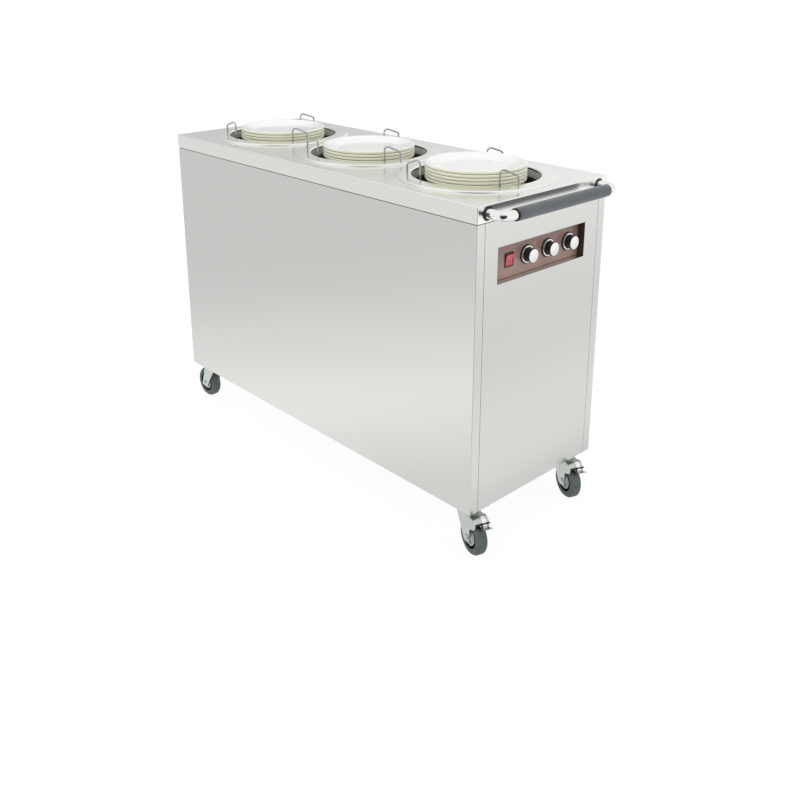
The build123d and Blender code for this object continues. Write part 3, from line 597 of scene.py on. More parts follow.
def rounded(corners):
    """Turn (across, up, radius) corners into points, each round corner a run of short steps."""
    points = []
    for number, (across, up, radius) in enumerate(corners):
        here = Vector((across, up))
        if radius == 0:
            points.append(here)
            continue
        into = (here - Vector(corners[number - 1][:2])).normalized()
        out = (Vector(corners[(number + 1) % len(corners)][:2]) - here).normalized()
        turn = math.atan2(into.x * out.y - into.y * out.x, into.dot(out))
        start = here - into * radius * math.tan(abs(turn) / 2)
        inward = Vector((-into.y, into.x)) * math.copysign(1, turn)
        centre = start + inward * radius
        steps = max(2, math.ceil(abs(turn) / ARC_STEP))
        for step in range(steps + 1):
            spoke = start - centre
            spoke.rotate(Matrix.Rotation(turn * step / steps, 2))
            points.append(centre + spoke)
    return points


print("bench ready")


# %% Turn, fill, bend and soften
BEND_STEP = math.radians(9)
SHARP_ABOVE = math.radians(40)


def close_ends():
    """Fill every open end of the mesh and leave it tidy."""
    bpy.ops.mesh.select_all(action="SELECT")
    bpy.ops.mesh.fill_holes(sides=0)
    tidy_mesh()
    object_mode()


def turned(corners, steps=96):
    """Turn (radius, height, rounding) corners about the upright axis."""
    off_axis = all(corner[0] > 0 for corner in corners)
    profile = [(point.x, 0, point.y) for point in rounded(corners)]
    draw_line(profile, closed=off_axis)
    bpy.ops.mesh.spin(steps=steps, angle=2 * math.pi, center=(0, 0, 0), axis=(0, 0, 1))
    tidy_mesh()
    object_mode()
    return bpy.context.object


def filled(points, lift):
    """Fill a closed line and give it thickness along lift."""
    draw_line(points, closed=True)
    bpy.ops.mesh.edge_face_add()
    push(lift)
    tidy_mesh()
    object_mode()
    return bpy.context.object


def bent_bar(points, radius, bend, sides=20):
    """Bend a round bar through points: each run is extruded and each corner is spun."""
    points = [Vector(point) for point in points]
    facing = (points[1] - points[0]).to_track_quat("Z", "Y").to_euler()
    start_piece("circle", vertices=sides, radius=radius, location=points[0], rotation=facing)
    fix_place()
    edit_mode()
    bpy.ops.mesh.select_all(action="SELECT")
    here = points[0]
    for corner, after in zip(points[1:-1], points[2:]):
        into = (corner - here).normalized()
        out = (after - corner).normalized()
        turn = into.angle(out)
        stop = corner - into * bend * math.tan(turn / 2)
        push(stop - here)
        axis = into.cross(out).normalized()
        centre = stop + axis.cross(into) * bend
        steps = max(4, math.ceil(turn / BEND_STEP))
        bpy.ops.mesh.spin(steps=steps, angle=-turn, center=centre, axis=axis)
        here = corner + out * bend * math.tan(turn / 2)
    push(points[-1] - here)
    close_ends()
    return bpy.context.object


def use_modifier(piece, kind, **settings):
    """Add a modifier, set it up and apply it."""
    pick(piece)
    bpy.ops.object.modifier_add(type=kind)
    modifier = piece.modifiers[-1]
    for key, value in settings.items():
        setattr(modifier, key, value)
    bpy.ops.object.modifier_apply(modifier=modifier.name)


def soften(piece, width, segments=3):
    """Round every sharp edge by so much."""
    use_modifier(piece, "BEVEL", width=width, segments=segments, limit_method="ANGLE",
                 angle_limit=SHARP_ABOVE, use_clamp_overlap=True)
    return piece


def block(low, high, rounding=0.0):
    """A box between two corners, with its edges rounded."""
    low, high = Vector(low), Vector(high)
    piece = start_piece("cube", size=1, location=(low + high) / 2, scale=high - low)
    fix_place()
    if rounding:
        soften(piece, rounding)
    return piece


def cut(piece, tool, operation="DIFFERENCE"):
    """Cut a piece with a tool, which is used up."""
    use_modifier(piece, "BOOLEAN", object=tool, operation=operation, solver="EXACT")
    bpy.data.objects.remove(tool)
    return piece


def join(first, *others):
    """Weld pieces into one."""
    pick(first, *others)
    bpy.ops.object.join()
    return first


def move(piece, place=(0, 0, 0), turn=(0, 0, 0)):
    """Turn a piece, carry it to its place, and fix both in its mesh."""
    pick(piece)
    piece.location = place
    piece.rotation_euler = turn
    fix_place()
    return piece


def copy_of(piece):
    """Another piece with its own mesh."""
    pick(piece)
    bpy.ops.object.duplicate()
    return bpy.context.object


SMOOTH_BELOW = math.radians(38)


def done(piece, name, body, finish, *stands_for):
    """Name a piece, smooth it, give it its finish and let it ride on its body."""
    piece.name = name
    piece.data.name = name
    pick(piece)
    fix_place()
    bpy.ops.object.shade_smooth_by_angle(angle=SMOOTH_BELOW)
    use_modifier(piece, "WEIGHTED_NORMAL", keep_sharp=True)
    piece.data.materials.clear()
    piece.data.materials.append(finish)
    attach(piece, body)
    if stands_for:
        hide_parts(*stands_for)
    return piece


CABINET = "cabinet"
print("moves ready")

# %% [markdown]
# ## The cabinet
#
# The cabinet is folded from thin stainless sheet. The deck is a shallow upturned tray, and its
# turned-down skirt stands a millimetre proud of the panels below, with a dark line between them.

# %% The deck
DECK_ROUND = 3 * MM
DECK_SHEET = 1.5 * MM
WELL_HOLE = 171 * MM
low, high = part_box("top_deck")
DECK_TOP = high.z
WELLS = {
    number: sum(corner.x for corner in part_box(f"well_ring_{number}")) / 2 for number in (1, 2, 3)
}
deck = block(low, high)
pick_faces(deck, lambda face: face.normal.z < -0.9)
bpy.ops.mesh.delete(type="FACE")
object_mode()
soften(deck, DECK_ROUND, 4)
use_modifier(deck, "SOLIDIFY", thickness=DECK_SHEET, offset=-1)
for well_x in WELLS.values():
    hole = start_piece("cylinder", vertices=96, radius=WELL_HOLE, depth=0.02,
                       location=(well_x, 0, DECK_TOP))
    cut(deck, hole)
done(deck, "deck", CABINET, DECK_STEEL, "top_deck")
print("deck", len(deck.data.polygons), "faces")

# %% The side panels
# Each side panel is one sheet that goes round both corners, so its plan is a long shallow C.
SHEET = 2 * MM
FOLD = 2 * MM
RETURN = 28 * MM
PANEL_EDGE = 0.4 * MM
SKIRT_GAP = 2 * MM
PANEL_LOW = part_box("end_panel_rear")[0].z
PANEL_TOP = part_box("top_deck")[0].z - SKIRT_GAP
for name, node, side in (
    ("near_panel", "side_panel_front", -1),
    ("far_panel", "side_panel_back", 1),
):
    low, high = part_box(node)
    face_y = low.y if side < 0 else high.y
    back_y = face_y - side * SHEET
    end_y = face_y - side * RETURN
    plan = rounded([
        (low.x, face_y, FOLD), (high.x, face_y, FOLD), (high.x, end_y, 0),
        (high.x - SHEET, end_y, 0), (high.x - SHEET, back_y, 0), (low.x + SHEET, back_y, 0),
        (low.x + SHEET, end_y, 0), (low.x, end_y, 0),
    ])
    panel = filled([(p.x, p.y, PANEL_LOW) for p in plan], (0, 0, PANEL_TOP - PANEL_LOW))
    soften(panel, PANEL_EDGE, 2)
    done(panel, name, CABINET, SIDE_STEEL, node)
    print(name, len(panel.data.polygons), "faces")

# %% The end panels
REAR_X, FRONT_X = (corner.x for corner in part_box("side_panel_front"))
for name, node, outer_x, inner_x in (
    ("control_panel", "end_panel_control", FRONT_X, FRONT_X - SHEET),
    ("rear_panel", "end_panel_rear", REAR_X, REAR_X + SHEET),
):
    low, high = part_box(node)
    panel = block((min(outer_x, inner_x), low.y, low.z),
                  (max(outer_x, inner_x), high.y, PANEL_TOP))
    if outer_x == FRONT_X:
        hole_low, hole_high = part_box("control_recess")
        cut(panel, block((inner_x - SHEET, hole_low.y, hole_low.z),
                         (outer_x + SHEET, hole_high.y, hole_high.z)))
    soften(panel, PANEL_EDGE, 2)
    done(panel, name, CABINET, END_STEEL, node)
    print(name, len(panel.data.polygons), "faces")

# %% [markdown]
# ## The wells
#
# A polished collar is dropped into each hole of the deck. It is turned from one profile: nearly
# flat on top, rounded outside, with a neck that goes down into the well.

# %% The collars and barrels
COLLAR_BAND = 41 * MM
WELL_SHEET = 1.5 * MM
WELL_FLOOR = 3 * MM
GUIDE_INNER = 20.1 * MM
GUIDE_OUTER = 23 * MM
GUIDE_RISE = 350 * MM
NECK_TOP = DECK_TOP - 2 * MM
for number, well_x in WELLS.items():
    low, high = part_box(f"well_ring_{number}")
    outer = (high.x - low.x) / 2
    inner = outer - COLLAR_BAND
    back = inner + WELL_SHEET
    collar = turned([
        (outer, DECK_TOP, 0.5 * MM), (outer - 1.2 * MM, high.z - 1.2 * MM, 4 * MM),
        (inner, high.z, 4 * MM), (inner, NECK_TOP, 0), (back, NECK_TOP, 0), (back, DECK_TOP, 0),
    ], steps=144)
    move(collar, (well_x, 0, 0))
    done(collar, f"collar_{number}", CABINET, COLLAR_STEEL, f"well_ring_{number}")
    neck = turned([
        (inner, NECK_TOP, 0), (inner, low.z, 0.4 * MM), (back, low.z, 0.4 * MM),
        (back, NECK_TOP, 0),
    ], steps=144)
    move(neck, (well_x, 0, 0))
    done(neck, f"collar_neck_{number}", CABINET, NECK_STEEL)

    low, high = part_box(f"well_barrel_{number}")
    outer = (high.x - low.x) / 2
    inner = outer - WELL_SHEET
    floor_z = low.z + WELL_FLOOR
    guide_top = floor_z + GUIDE_RISE
    wall = turned([
        (outer, low.z, 1 * MM), (outer, high.z, 0.3 * MM), (inner, high.z, 0.3 * MM),
        (inner, low.z, 0.3 * MM),
    ])
    base = turned([
        (GUIDE_INNER, low.z, 0), (inner, low.z, 0), (inner, floor_z, 0),
        (GUIDE_OUTER, floor_z, 1 * MM), (GUIDE_OUTER, guide_top, 0.8 * MM),
        (GUIDE_INNER, guide_top, 0.8 * MM),
    ], steps=64)
    barrel = join(wall, base)
    move(barrel, (well_x, 0, 0))
    done(barrel, f"barrel_{number}", CABINET, WELL_STEEL, f"well_barrel_{number}")
print("wells", len(WELLS))

# %% The platforms
DISC = 3 * MM
STEM_OUTER = 20 * MM
STEM_INNER = 18 * MM
for number, well_x in WELLS.items():
    node = f"platform_{number}"
    low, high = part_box(node)
    outer = (high.x - low.x) / 2
    disc_low = high.z - DISC
    disc = turned([
        (0, high.z, 0), (outer, high.z, 1.4 * MM), (outer, disc_low, 1.4 * MM),
        (STEM_OUTER, disc_low, 2 * MM), (STEM_OUTER, low.z, 0.6 * MM),
        (STEM_INNER, low.z, 0.6 * MM), (STEM_INNER, disc_low, 0), (0, disc_low, 0),
    ])
    move(disc, (well_x, 0, 0))
    done(disc, f"platform_disc_{number}", f"{node}_body", WELL_STEEL, node)
print("platforms made")

# %% [markdown]
# A long coil spring stands round the tube of each well and carries its platform. A round wire is
# drawn as a circle and wound up by a Screw modifier.

# %% The lift springs
SPRING_TURNS = 60
SPRING_WIRE = 2.5 * MM
SPRING_GAP = 0.5 * MM
for number, well_x in WELLS.items():
    low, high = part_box(f"lift_spring_{number}")
    coil_radius = (high.x - low.x) / 2 - SPRING_WIRE
    rise = high.z - low.z - 2 * (SPRING_WIRE + SPRING_GAP)
    coil = start_piece("circle", vertices=8, radius=SPRING_WIRE, rotation=(math.pi / 2, 0, 0),
                       location=(coil_radius, 0, low.z + SPRING_WIRE + SPRING_GAP))
    fix_place()
    use_modifier(coil, "SCREW", screw_offset=rise / SPRING_TURNS, iterations=SPRING_TURNS,
                 steps=24, render_steps=24)
    edit_mode()
    close_ends()
    move(coil, (well_x, 0, 0))
    done(coil, f"spring_coil_{number}", CABINET, SPRING, f"lift_spring_{number}")
    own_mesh(coil)
print("coil", len(coil.data.polygons), "faces")

# %% [markdown]
# ## The plates
#
# The wells hold four, four and five plates. A plate is turned from its section: a foot ring, a
# flat well and a thick rim with a soft edge. One plate is turned and copied, so all are alike.

# %% A plate
PLATE_STEP = 9 * MM
PLATES_A_WELL = {1: 4, 2: 4, 3: 5}
plate_low, plate_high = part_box("plates_1")
PLATE_RADIUS = (plate_high.x - plate_low.x) / 2
PLATE_DEPTH = plate_high.z - plate_low.z - (PLATES_A_WELL[1] - 1) * PLATE_STEP
UNDER_SIDE = mm((0, 2, 0), (60, 2, 2), (62, 0, 0.8), (72, 0, 1.5), (76, 2, 3), (92, 3, 15),
                (127, 12.4, 5))
RIM_EDGE = [(PLATE_RADIUS, 13.9 * MM, 2 * MM), (PLATE_RADIUS, PLATE_DEPTH, 2.6 * MM)]
TOP_SIDE = mm((126, -0.6, 4), base=PLATE_DEPTH) + mm((88, 9, 24), (0, 9, 0))
first_plate = turned(UNDER_SIDE + RIM_EDGE + TOP_SIDE, steps=128)
print("one plate", len(first_plate.data.polygons), "faces")

# %% The stacks
for number, well_x in WELLS.items():
    foot_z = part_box(f"plates_{number}")[0].z
    for level in range(PLATES_A_WELL[number]):
        plate = copy_of(first_plate)
        move(plate, (well_x, 0, foot_z + level * PLATE_STEP))
        stands_for = [f"plates_{number}"] if level == 0 else []
        done(plate, f"plate_{number}_{level + 1}", f"plates_{number}_body", GLAZE, *stands_for)
bpy.data.objects.remove(first_plate)

# %% [markdown]
# ## The plate guides
#
# Three bent wires stand round each well. Each leaves its socket outside the collar's inner edge,
# leans across and up, and drops a long leg beside the plates. One bar bent at two corners is the
# whole shape, so it is made as a real one is: straight, bend, straight, bend, straight.

# %% Nine guides
WIRE = 2.5 * MM
WIRE_BEND = 10 * MM
PIVOT_RADIUS = 179 * MM
GUIDE_ARM = 46 * MM
TIP_RADIUS = 150 * MM
SHORT_TOP = 961 * MM
TALL_TOP = 978 * MM
GUIDE_ANGLES = {"a": (-12, -1), "b": (108, 1), "c": (228, 1)}
reach = PIVOT_RADIUS**2 + GUIDE_ARM**2 - TIP_RADIUS**2
swing = math.acos(reach / (2 * PIVOT_RADIUS * GUIDE_ARM))
for number, well_x in WELLS.items():
    for letter, (degrees, turn) in GUIDE_ANGLES.items():
        node = f"plate_guide_{number}{letter}"
        low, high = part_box(node)
        angle = math.radians(degrees)
        foot = Vector((well_x + PIVOT_RADIUS * math.cos(angle), PIVOT_RADIUS * math.sin(angle), 0))
        heading = angle + math.pi - turn * swing
        tip = foot + GUIDE_ARM * Vector((math.cos(heading), math.sin(heading), 0))
        guide = bent_bar([
            (foot.x, foot.y, DECK_TOP - 24 * MM), (foot.x, foot.y, SHORT_TOP),
            (tip.x, tip.y, TALL_TOP), (tip.x, tip.y, low.z),
        ], WIRE, WIRE_BEND)
        soften(guide, 0.6 * MM, 2)
        done(guide, f"guide_{number}{letter}", f"guide_{number}{letter}_body", WIRE_STEEL, node)
print("guides made")

# %% [markdown]
# ## The controls
#
# The controls sit in a shallow tray let into the end panel, on a maroon plate. The plate carries
# no words here. A rocker switch stands to the left of three knobs.

# %% The tray and its plate
TRAY_SHEET = 1.5 * MM
# The thickness of the sheets of painted shade on the tray's side walls.
SHADE_SHEET_THICKNESS = 1 * MM
tray_low, tray_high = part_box("control_recess")
tray = block(tray_low, tray_high)
pick_faces(tray, lambda face: face.normal.x > 0.9)
bpy.ops.mesh.delete(type="FACE")
object_mode()
use_modifier(tray, "SOLIDIFY", thickness=TRAY_SHEET, offset=-1)
soften(tray, 0.4 * MM, 2)
done(tray, "control_tray", CABINET, END_STEEL, "control_recess")

low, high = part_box("control_faceplate")
faceplate = block(low, high, 0.5 * MM)
done(faceplate, "control_plate", CABINET, CONTROL, "control_faceplate")
FACE_X = high.x
# Thin dark sheets on the tray's two side walls are painted shade, where the walls fall into shadow.
for name, wall_y in (("tray_shade_sheet_near", low.y), ("tray_shade_sheet_far", high.y - SHADE_SHEET_THICKNESS)):
    shade_sheet = block(
        (FACE_X, wall_y, tray_low.z + TRAY_SHEET),
        (tray_high.x - 0.5 * MM, wall_y + SHADE_SHEET_THICKNESS, tray_high.z - TRAY_SHEET),
        0.3 * MM,
    )
    done(shade_sheet, name, CABINET, PAINTED_SHADE_BROWN)
print("tray and plate made")

# %% The knobs
# A knob is three turned pieces: a black skirt and body, a bright ring and a bright cap.
KNOB_BODY = mm((0, 0.5, 0), (25, 0.5, 0.5), (24.4, 3.4, 1), (18.5, 5, 1), (17, 13, 6),
               (19, 21.5, 1.5), (17.6, 22.4, 0), (0, 22.4, 0))
KNOB_RING = mm((21.2, 3.2, 0), (22.6, 3.4, 0.4), (22, 5.6, 0.8), (19, 6.2, 0.4), (19, 4.4, 0))
KNOB_CAP = mm((0, 22.2, 0), (17.2, 22.2, 0), (17.2, 23.8, 0.8), (8, 24.2, 8), (0, 24.3, 0))
JOINT_AT = {joint["name"]: Vector(joint["pos_m"]) for joint in frame["joints"] if "pos_m" in joint}
FACE_OUT = (0, math.pi / 2, 0)
for node in ("knob_1", "knob_2", "knob_3"):
    place = JOINT_AT[f"{node}_turn"]
    place.x = FACE_X
    for name, section, finish, stands_for in (
        ("body_black", KNOB_BODY, BLACK, [node]),
        ("ring", KNOB_RING, POLISHED, []),
        ("cap", KNOB_CAP, POLISHED, []),
    ):
        piece = turned(section, steps=64)
        move(piece, place, FACE_OUT)
        done(piece, f"{node}_{name}", f"{node}_body", finish, *stands_for)
print("knobs made")

# %% The switch
RIM = 1.5 * MM
LIP = 3 * MM
NECK_IN = 1.2 * MM
low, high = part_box("switch_housing")
lip_x = high.x - LIP
lip = block((lip_x, low.y, low.z), high)
neck = block((low.x, low.y + NECK_IN, low.z + NECK_IN), (lip_x, high.y - NECK_IN, high.z - NECK_IN))
bezel = join(lip, neck)
pocket = block((low.x + 8 * MM, low.y + RIM, low.z + RIM),
               (high.x + RIM, high.y - RIM, high.z - RIM))
cut(bezel, pocket)
soften(bezel, 0.7 * MM, 3)
done(bezel, "switch_bezel", CABINET, BLACK, "switch_housing")

ROCKER_WIDE = 12.9 * MM
ROCKER_TIP = math.radians(8)
profile = rounded(mm((-4, -4, 0), (4, -14.6, 0.4), (9, -14.6, 1), (5.2, 0, 30), (9, 14.6, 1),
                     (4, 14.6, 0.4), (-4, 4, 0)))
rocker = filled([(p.x, -ROCKER_WIDE, p.y) for p in profile], (0, 2 * ROCKER_WIDE, 0))
soften(rocker, 0.5 * MM, 3)
move(rocker, JOINT_AT["switch_rock"], (0, ROCKER_TIP, 0))
done(rocker, "rocker", "rocker_body", RED, "switch_rocker")
print("switch made")

# %% [markdown]
# ## The handle
#
# A chromed tube comes out of the skirt at both corners of the cart's end, turns through a right
# angle and crosses. A rubber sleeve covers the straight run, with a black ring at each end that is
# painted shade, where the sleeve's ends fall into shadow.

# %% The tube and its feet
TUBE = 12.5 * MM
TUBE_BEND = 30 * MM
FOOT_SHEET = 1.6 * MM
low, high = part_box("handle_tube")
foot_radius = (high.z - low.z) / 2
HANDLE_Z = (high.z + low.z) / 2
handle_x = high.x - TUBE
half_span = (high.y - low.y) / 2 - foot_radius
root_x = low.x
tube = bent_bar([
    (root_x, -half_span, HANDLE_Z), (handle_x, -half_span, HANDLE_Z),
    (handle_x, half_span, HANDLE_Z), (root_x, half_span, HANDLE_Z),
], TUBE, TUBE_BEND, sides=48)
done(tube, "handle_tube_chrome", CABINET, POLISHED, "handle_tube")
foot_edge = foot_radius - FOOT_SHEET
for name, y in (("handle_foot_near", -half_span), ("handle_foot_far", half_span)):
    foot = turned([
        (TUBE - 1 * MM, 0, 0), (foot_edge, 0, 0.3 * MM), (foot_edge, 1 * MM, 0.6 * MM),
        (TUBE + 0.6 * MM, FOOT_SHEET, 0.5 * MM), (TUBE - 1 * MM, FOOT_SHEET, 0),
    ], steps=64)
    move(foot, (root_x, y, HANDLE_Z), FACE_OUT)
    done(foot, name, CABINET, BLACK)
print("tube", len(tube.data.polygons), "faces")

# %% The sleeve
# The width of the black ring of painted shade at each end of the sleeve, which the sleeve stops
# short of.
END_SHADE_WIDTH = 3 * MM
LIE_ALONG_Y = (math.pi / 2, 0, 0)
low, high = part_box("handle_grip")
grip_radius = (high.z - low.z) / 2
length = high.y - low.y
end_radius = grip_radius - 0.6 * MM
sleeve = turned([
    (TUBE, END_SHADE_WIDTH, 0), (end_radius, END_SHADE_WIDTH, 0.6 * MM), (grip_radius, 12 * MM, 4 * MM),
    (grip_radius, length - 12 * MM, 4 * MM), (end_radius, length - END_SHADE_WIDTH, 0.6 * MM),
    (TUBE, length - END_SHADE_WIDTH, 0),
], steps=64)
move(sleeve, (handle_x, high.y, HANDLE_Z), LIE_ALONG_Y)
done(sleeve, "grip", CABINET, GRIP, "handle_grip")
# Painted shade: a black ring at each end of the sleeve, where the sleeve's end falls into shadow.
end_shade_radius = grip_radius - 0.4 * MM
for name, start in (("grip_end_shade_near", length - END_SHADE_WIDTH), ("grip_end_shade_far", 0)):
    band = turned([
        (TUBE, start, 0.6 * MM), (end_shade_radius, start, 1.2 * MM),
        (end_shade_radius, start + END_SHADE_WIDTH, 0.8 * MM), (TUBE, start + END_SHADE_WIDTH, 0.6 * MM),
    ], steps=64)
    move(band, (handle_x, high.y, HANDLE_Z), LIE_ALONG_Y)
    done(band, name, CABINET, BLACK)
print("sleeve length", round(length, 3))

# %% [markdown]
# ## The casters
#
# A caster is drawn once in its own plane: the kingpin stands at the middle and the wheel trails
# behind it. Each copy is then swivelled and carried under its corner. The two at the handle end
# have a brake.

# %% Where the casters are
TRAIL = 32 * MM
AXLE_Z = 50 * MM
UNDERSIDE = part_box("base_pan")[0].z
MOUNT_LOW = UNDERSIDE - 3 * MM
CROWN = MOUNT_LOW - 12.5 * MM
BRAKED = (1, 2)
PLAIN = (3, 4)
CASTERS = {}
for number in BRAKED + PLAIN:
    king = JOINT_AT[f"caster_{number}_swivel"]
    axle = JOINT_AT[f"wheel_{number}_roll"]
    CASTERS[number] = (Vector((king.x, king.y, 0)), math.atan2(axle.y - king.y, axle.x - king.x))


def beside_axle(piece):
    """Lay a turned piece down so that it turns about the axle."""
    return move(piece, (TRAIL, 0, AXLE_Z), (-math.pi / 2, 0, 0))


def to_casters(pattern, numbers, name, body, finish, *stands_for):
    """Swivel a copy of a pattern and carry it under each corner, and use the pattern up."""
    for number in numbers:
        place, swivel = CASTERS[number]
        piece = move(copy_of(pattern), place, (0, 0, swivel))
        hidden = [node.format(number) for node in stands_for]
        done(piece, name.format(number), body.format(number), finish, *hidden)
    bpy.data.objects.remove(pattern)


print({number: round(math.degrees(swivel)) for number, (_, swivel) in CASTERS.items()})

# %% The forks
FORK_INNER = 18.8 * MM
FORK_SHEET = 3 * MM
FORK_OUTER = FORK_INNER + FORK_SHEET
FORK_FOLD = 6 * MM
FORK_LOW = 30 * MM
BEYOND = 30 * MM
CHEEK_BACK = mm((-26, -8, 8), base=CROWN)
PLAIN_CHEEK = mm((-26, 0, 5), (26, 0, 5), (26, -8, 10), base=CROWN)
PLAIN_CHEEK += mm((46.5, 37, 13), (18, 37, 13)) + CHEEK_BACK
BRAKED_CHEEK = mm((-26, 0, 5), (58, 0, 18), base=CROWN)
BRAKED_CHEEK += mm((71, 106, 6), (69, 90, 7), (46, 82, 6), (45.5, 37, 13), (18, 37, 13))
BRAKED_CHEEK += CHEEK_BACK


def pressed_fork(cheek):
    """A fork pressed from one sheet: a folded channel, cut to the outline of its cheeks."""
    inner_top = CROWN - FORK_SHEET
    inner_fold = FORK_FOLD - FORK_SHEET
    section = rounded([
        (-FORK_OUTER, FORK_LOW, 0), (-FORK_OUTER, CROWN, FORK_FOLD),
        (FORK_OUTER, CROWN, FORK_FOLD), (FORK_OUTER, FORK_LOW, 0), (FORK_INNER, FORK_LOW, 0),
        (FORK_INNER, inner_top, inner_fold), (-FORK_INNER, inner_top, inner_fold),
        (-FORK_INNER, FORK_LOW, 0),
    ])
    channel = filled([(-BEYOND, p.x, p.y) for p in section], (4 * BEYOND, 0, 0))
    outline = filled([(p.x, -BEYOND, p.y) for p in rounded(cheek)], (0, 2 * BEYOND, 0))
    cut(channel, outline, "INTERSECT")
    return soften(channel, 0.6 * MM, 2)


for cheek, numbers in ((BRAKED_CHEEK, BRAKED), (PLAIN_CHEEK, PLAIN)):
    to_casters(pressed_fork(cheek), numbers, "fork_{}", "caster_{}", ZINC, "caster_fork_{}")
print("forks made")

# %% Bearings, axle bolts and mounts
cup = turned(mm((6.2, -9, 0), (15, -9, 1.5), (17, -3, 1), (17, 0, 0.3), (6.2, 0, 0.3),
                base=CROWN), steps=48)
to_casters(cup, CASTERS, "swivel_cup_{}", "caster_{}", ZINC)

AXLE = 5 * MM
HEAD = 8.3 * MM
head_low = FORK_OUTER + 0.1 * MM
head_edge = FORK_OUTER + 1.4 * MM
head_top = FORK_OUTER + 4.6 * MM
shaft = turned([
    (0, -head_top, 0), (7 * MM, -head_top, 1.4 * MM), (HEAD, -head_edge, 0.3 * MM),
    (HEAD, -head_low, 0), (AXLE, -head_low, 0), (AXLE, head_low, 0), (HEAD, head_low, 0.3 * MM),
    (HEAD, head_edge, 0.3 * MM), (7 * MM, head_top, 1.4 * MM), (0, head_top, 0),
], steps=48)
to_casters(beside_axle(shaft), CASTERS, "axle_bolt_{}", "caster_{}", ZINC)

race_low = MOUNT_LOW - 12 * MM
race_line = mm((0, 0, 0), (28, 0, 2), base=MOUNT_LOW)
race_line += mm((24, 0, 2), (6, 0, 0), (6, -10.5, 0), (10, -10.5, 1), (10, -16, 1), (0, -16, 0),
                base=race_low)
for number, (place, _) in CASTERS.items():
    sheet = block((-46 * MM, -38 * MM, MOUNT_LOW), (46 * MM, 38 * MM, UNDERSIDE), 0.8 * MM)
    race = turned(race_line, steps=48)
    mount = move(join(sheet, race), place)
    stands_for = ["caster_plates"] if number == 1 else []
    done(mount, f"caster_mount_{number}", CABINET, ZINC, *stands_for)
print("mounts made")

# %% [markdown]
# The wheel has a grey hub with a dished web, a groove filled by a black ring that is painted
# shade, and a crowned rubber tyre.


# %% Hubs and tyres
def both_sides(half):
    """A section and its mirror image on the other side of the wheel."""
    return half + [(radius, -side, rounding) for radius, side, rounding in reversed(half)]


HUB_HALF = mm((5.1, -18, 0.5), (12, -18, 2), (15, -9, 2), (20, -9, 1), (21, -13.6, 1),
              (24.3, -13.6, 1.1), (24.5, -7, 0.5), (27, -7, 0))
TYRE_HALF = mm((27, -7, 0), (31.8, -7, 0), (32, -14.5, 0.8), (38, -15, 4), (39.4, -14.2, 0.5),
               (41, -15, 1), (45, -14.6, 4), (50, -9, 5))
# The ring in the groove is painted shade: black put where the groove lies in shadow.
GROOVE_SHADE_HALF = mm((24.3, -13.4, 0.3), (25.2, -13.4, 0.3), (25.6, -8, 0.5), (30.8, -8, 0.5),
               (31.2, -14.2, 0.3), (32.2, -14.2, 0.3))
for half, name, finish, stands_for in (
    (HUB_HALF, "wheel_hub_{}_grey", HUB, ["wheel_hub_{}"]),
    (TYRE_HALF, "tyre_{}_rubber", TYRE, ["tyre_{}"]),
    (GROOVE_SHADE_HALF, "wheel_seal_{}_ring", GROOVE_SHADE, []),
):
    pattern = beside_axle(turned(both_sides(half)))
    to_casters(pattern, CASTERS, name, "wheel_{}", finish, *stands_for)
print("wheels made")

# %% The brake's housing and strap
PIN = Vector((62 * MM, 0, 98 * MM))
HOUSING = 26 * MM
HOUSING_SHEET = 1.8 * MM
STRAP_SHEET = 1.2 * MM
HOUSING_CENTRE = Vector((50 * MM, 0, CROWN - HOUSING))


def bent_strip(inner, outer, degrees, near, width):
    """A strip of sheet that is bent about the housing's centre."""
    spokes = [Vector((math.cos(a), 0, math.sin(a))) for a in map(math.radians, degrees)]
    line = [HOUSING_CENTRE + outer * spoke for spoke in spokes]
    line += [HOUSING_CENTRE + inner * spoke for spoke in reversed(spokes)]
    aside = Vector((0, near, 0))
    return soften(filled([point + aside for point in line], (0, width, 0)), 0.4 * MM, 2)


housing = bent_strip(HOUSING - HOUSING_SHEET, HOUSING, range(100, 38, -6),
                     -FORK_OUTER, 2 * FORK_OUTER)
strap = bent_strip(HOUSING, HOUSING + STRAP_SHEET, range(84, 2, -6), 1 * MM, 12 * MM)
to_casters(housing, BRAKED, "brake_housing_{}", "caster_{}", ZINC)
to_casters(strap, BRAKED, "brake_strap_{}", "caster_{}", POLISHED)
print("housings made")

# %% The brake's lever
PEDAL_HALF = 16 * MM
PRESS_NEAR = -5 * MM
SHOE_HALF = 12 * MM


def beside_pin(line, near, width):
    """Fill an outline that is drawn about the brake's pin, and give it its width."""
    return filled([PIN + Vector((p.x, near, p.y)) for p in rounded(line)], (0, width, 0))


press = soften(beside_pin(
    mm((-5, -2, 2), (4, -6, 4), (14, -3, 6), (38, 7, 1), (38.5, 10, 1), (13, 0, 6), (3, 5, 2)),
    PRESS_NEAR, PEDAL_HALF - PRESS_NEAR), 0.7 * MM, 2)
release = soften(beside_pin(
    mm((-2, 4, 0), (5, 1, 0), (23, 14.6, 1), (21, 17.4, 1), (4, 6, 0)),
    0, PEDAL_HALF), 0.6 * MM, 2)
shoe = soften(beside_pin(
    mm((0, -3, 0), (12, -3, 1), (14, -8, 1.2), (6, -10, 1.2)),
    -SHOE_HALF, 2 * SHOE_HALF), 0.8 * MM, 2)
sleeve = turned([
    (3.1 * MM, -PEDAL_HALF, 0.4 * MM), (6 * MM, -PEDAL_HALF, 0.8 * MM),
    (6 * MM, PEDAL_HALF, 0.8 * MM), (3.1 * MM, PEDAL_HALF, 0.4 * MM),
], steps=32)
move(sleeve, PIN, (-math.pi / 2, 0, 0))
to_casters(press, BRAKED, "brake_lever_{}", "brake_{}", ZINC, "brake_pedal_{}")
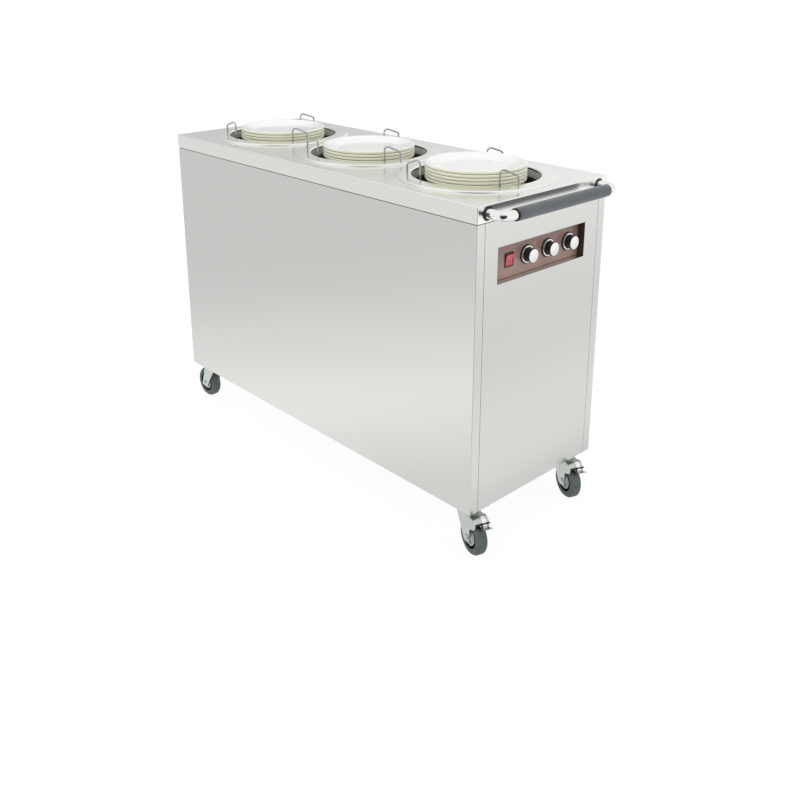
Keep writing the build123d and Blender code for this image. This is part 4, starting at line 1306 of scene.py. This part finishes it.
for pattern, name in ((sleeve, "sleeve"), (release, "release"), (shoe, "shoe")):
    to_casters(pattern, BRAKED, f"brake_{name}_{{}}", "brake_{}", BLACK)
print("brakes made")

# %% [markdown]
# ## Fasteners, inlet and what stays
#
# The small screws and bolts are modelled once and copied. The pieces that are hidden inside keep
# their own shape, and only take a finish.

# %% Bolts and screws
head = start_piece("cylinder", vertices=6, radius=7.2 * MM, depth=5 * MM, location=(0, 0, 0))
soften(head, 0.6 * MM, 2)
nut = move(copy_of(head), (0, 0, 10 * MM))
stem = turned(mm((0, -2.4, 0), (4, -2.4, 0), (4, 14.4, 0.8), (0, 14.4, 0)), steps=24)
bolt = join(head, stem, nut)
stands_for = ["fasteners"]
for number, (place, _) in CASTERS.items():
    for across, dx in (("l", -37 * MM), ("r", 37 * MM)):
        for along, dy in (("n", -29 * MM), ("f", 29 * MM)):
            piece = move(copy_of(bolt), (place.x + dx, place.y + dy, MOUNT_LOW - 2.5 * MM))
            done(piece, f"caster_bolt_{number}{across}{along}", CABINET, ZINC, *stands_for)
            stands_for = []
bpy.data.objects.remove(bolt)

screw = turned(mm((0, -1, 0), (5, -1, 0), (5, 0.4, 0.3), (3.4, 2.4, 2), (0, 2.5, 0)), steps=40)
for wide, tall in ((0.9, 4.4), (4.4, 0.9)):
    cut(screw, block(*mm((-wide / 2, -tall / 2, 1.2), (wide / 2, tall / 2, 4))))
FACE_BACK = (0, -math.pi / 2, 0)
for side, y in (("near", -213), ("far", 213)):
    for z in (180, 510, 840):
        piece = move(copy_of(screw), (REAR_X, y * MM, z * MM), FACE_BACK)
        done(piece, f"rear_screw_{side}_{z}", CABINET, ZINC)
bpy.data.objects.remove(screw)
print("bolts and screws made")

# %% The inlet
low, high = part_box("cable_gland")
nut = start_piece("cylinder", vertices=6, radius=12 * MM, depth=7 * MM, location=(0, 0, 3.5 * MM))
soften(nut, 0.9 * MM, 2)
sleeve = turned(mm((4, -5, 0.3), (8, -5, 0.3), (8, 8, 0.4), (7.2, 12, 1), (5.4, 14, 1),
                   (4, 14, 0.5)), steps=48)
gland = join(nut, sleeve)
bore = start_piece("cylinder", vertices=48, radius=4 * MM, depth=60 * MM, location=(0, 0, 0))
cut(gland, bore)
move(gland, (REAR_X, (low.y + high.y) / 2, (low.z + high.z) / 2), FACE_BACK)
done(gland, "inlet_gland", CABINET, BLACK, "cable_gland")
print("inlet made")

# %% What stays as it came
STAYS = {
    "base_pan": SIDE_STEEL,
    "guide_sockets": WELL_STEEL,
    "heating_elements": HEATER,
    "thermostats": BLACK,
    "terminal_box": BLACK,
}
for node, finish in STAYS.items():
    nodes[node].data.materials.clear()
    nodes[node].data.materials.append(finish)
shown = [name for name, piece in nodes.items() if not piece.hide_render]
print("nodes still shown", shown)
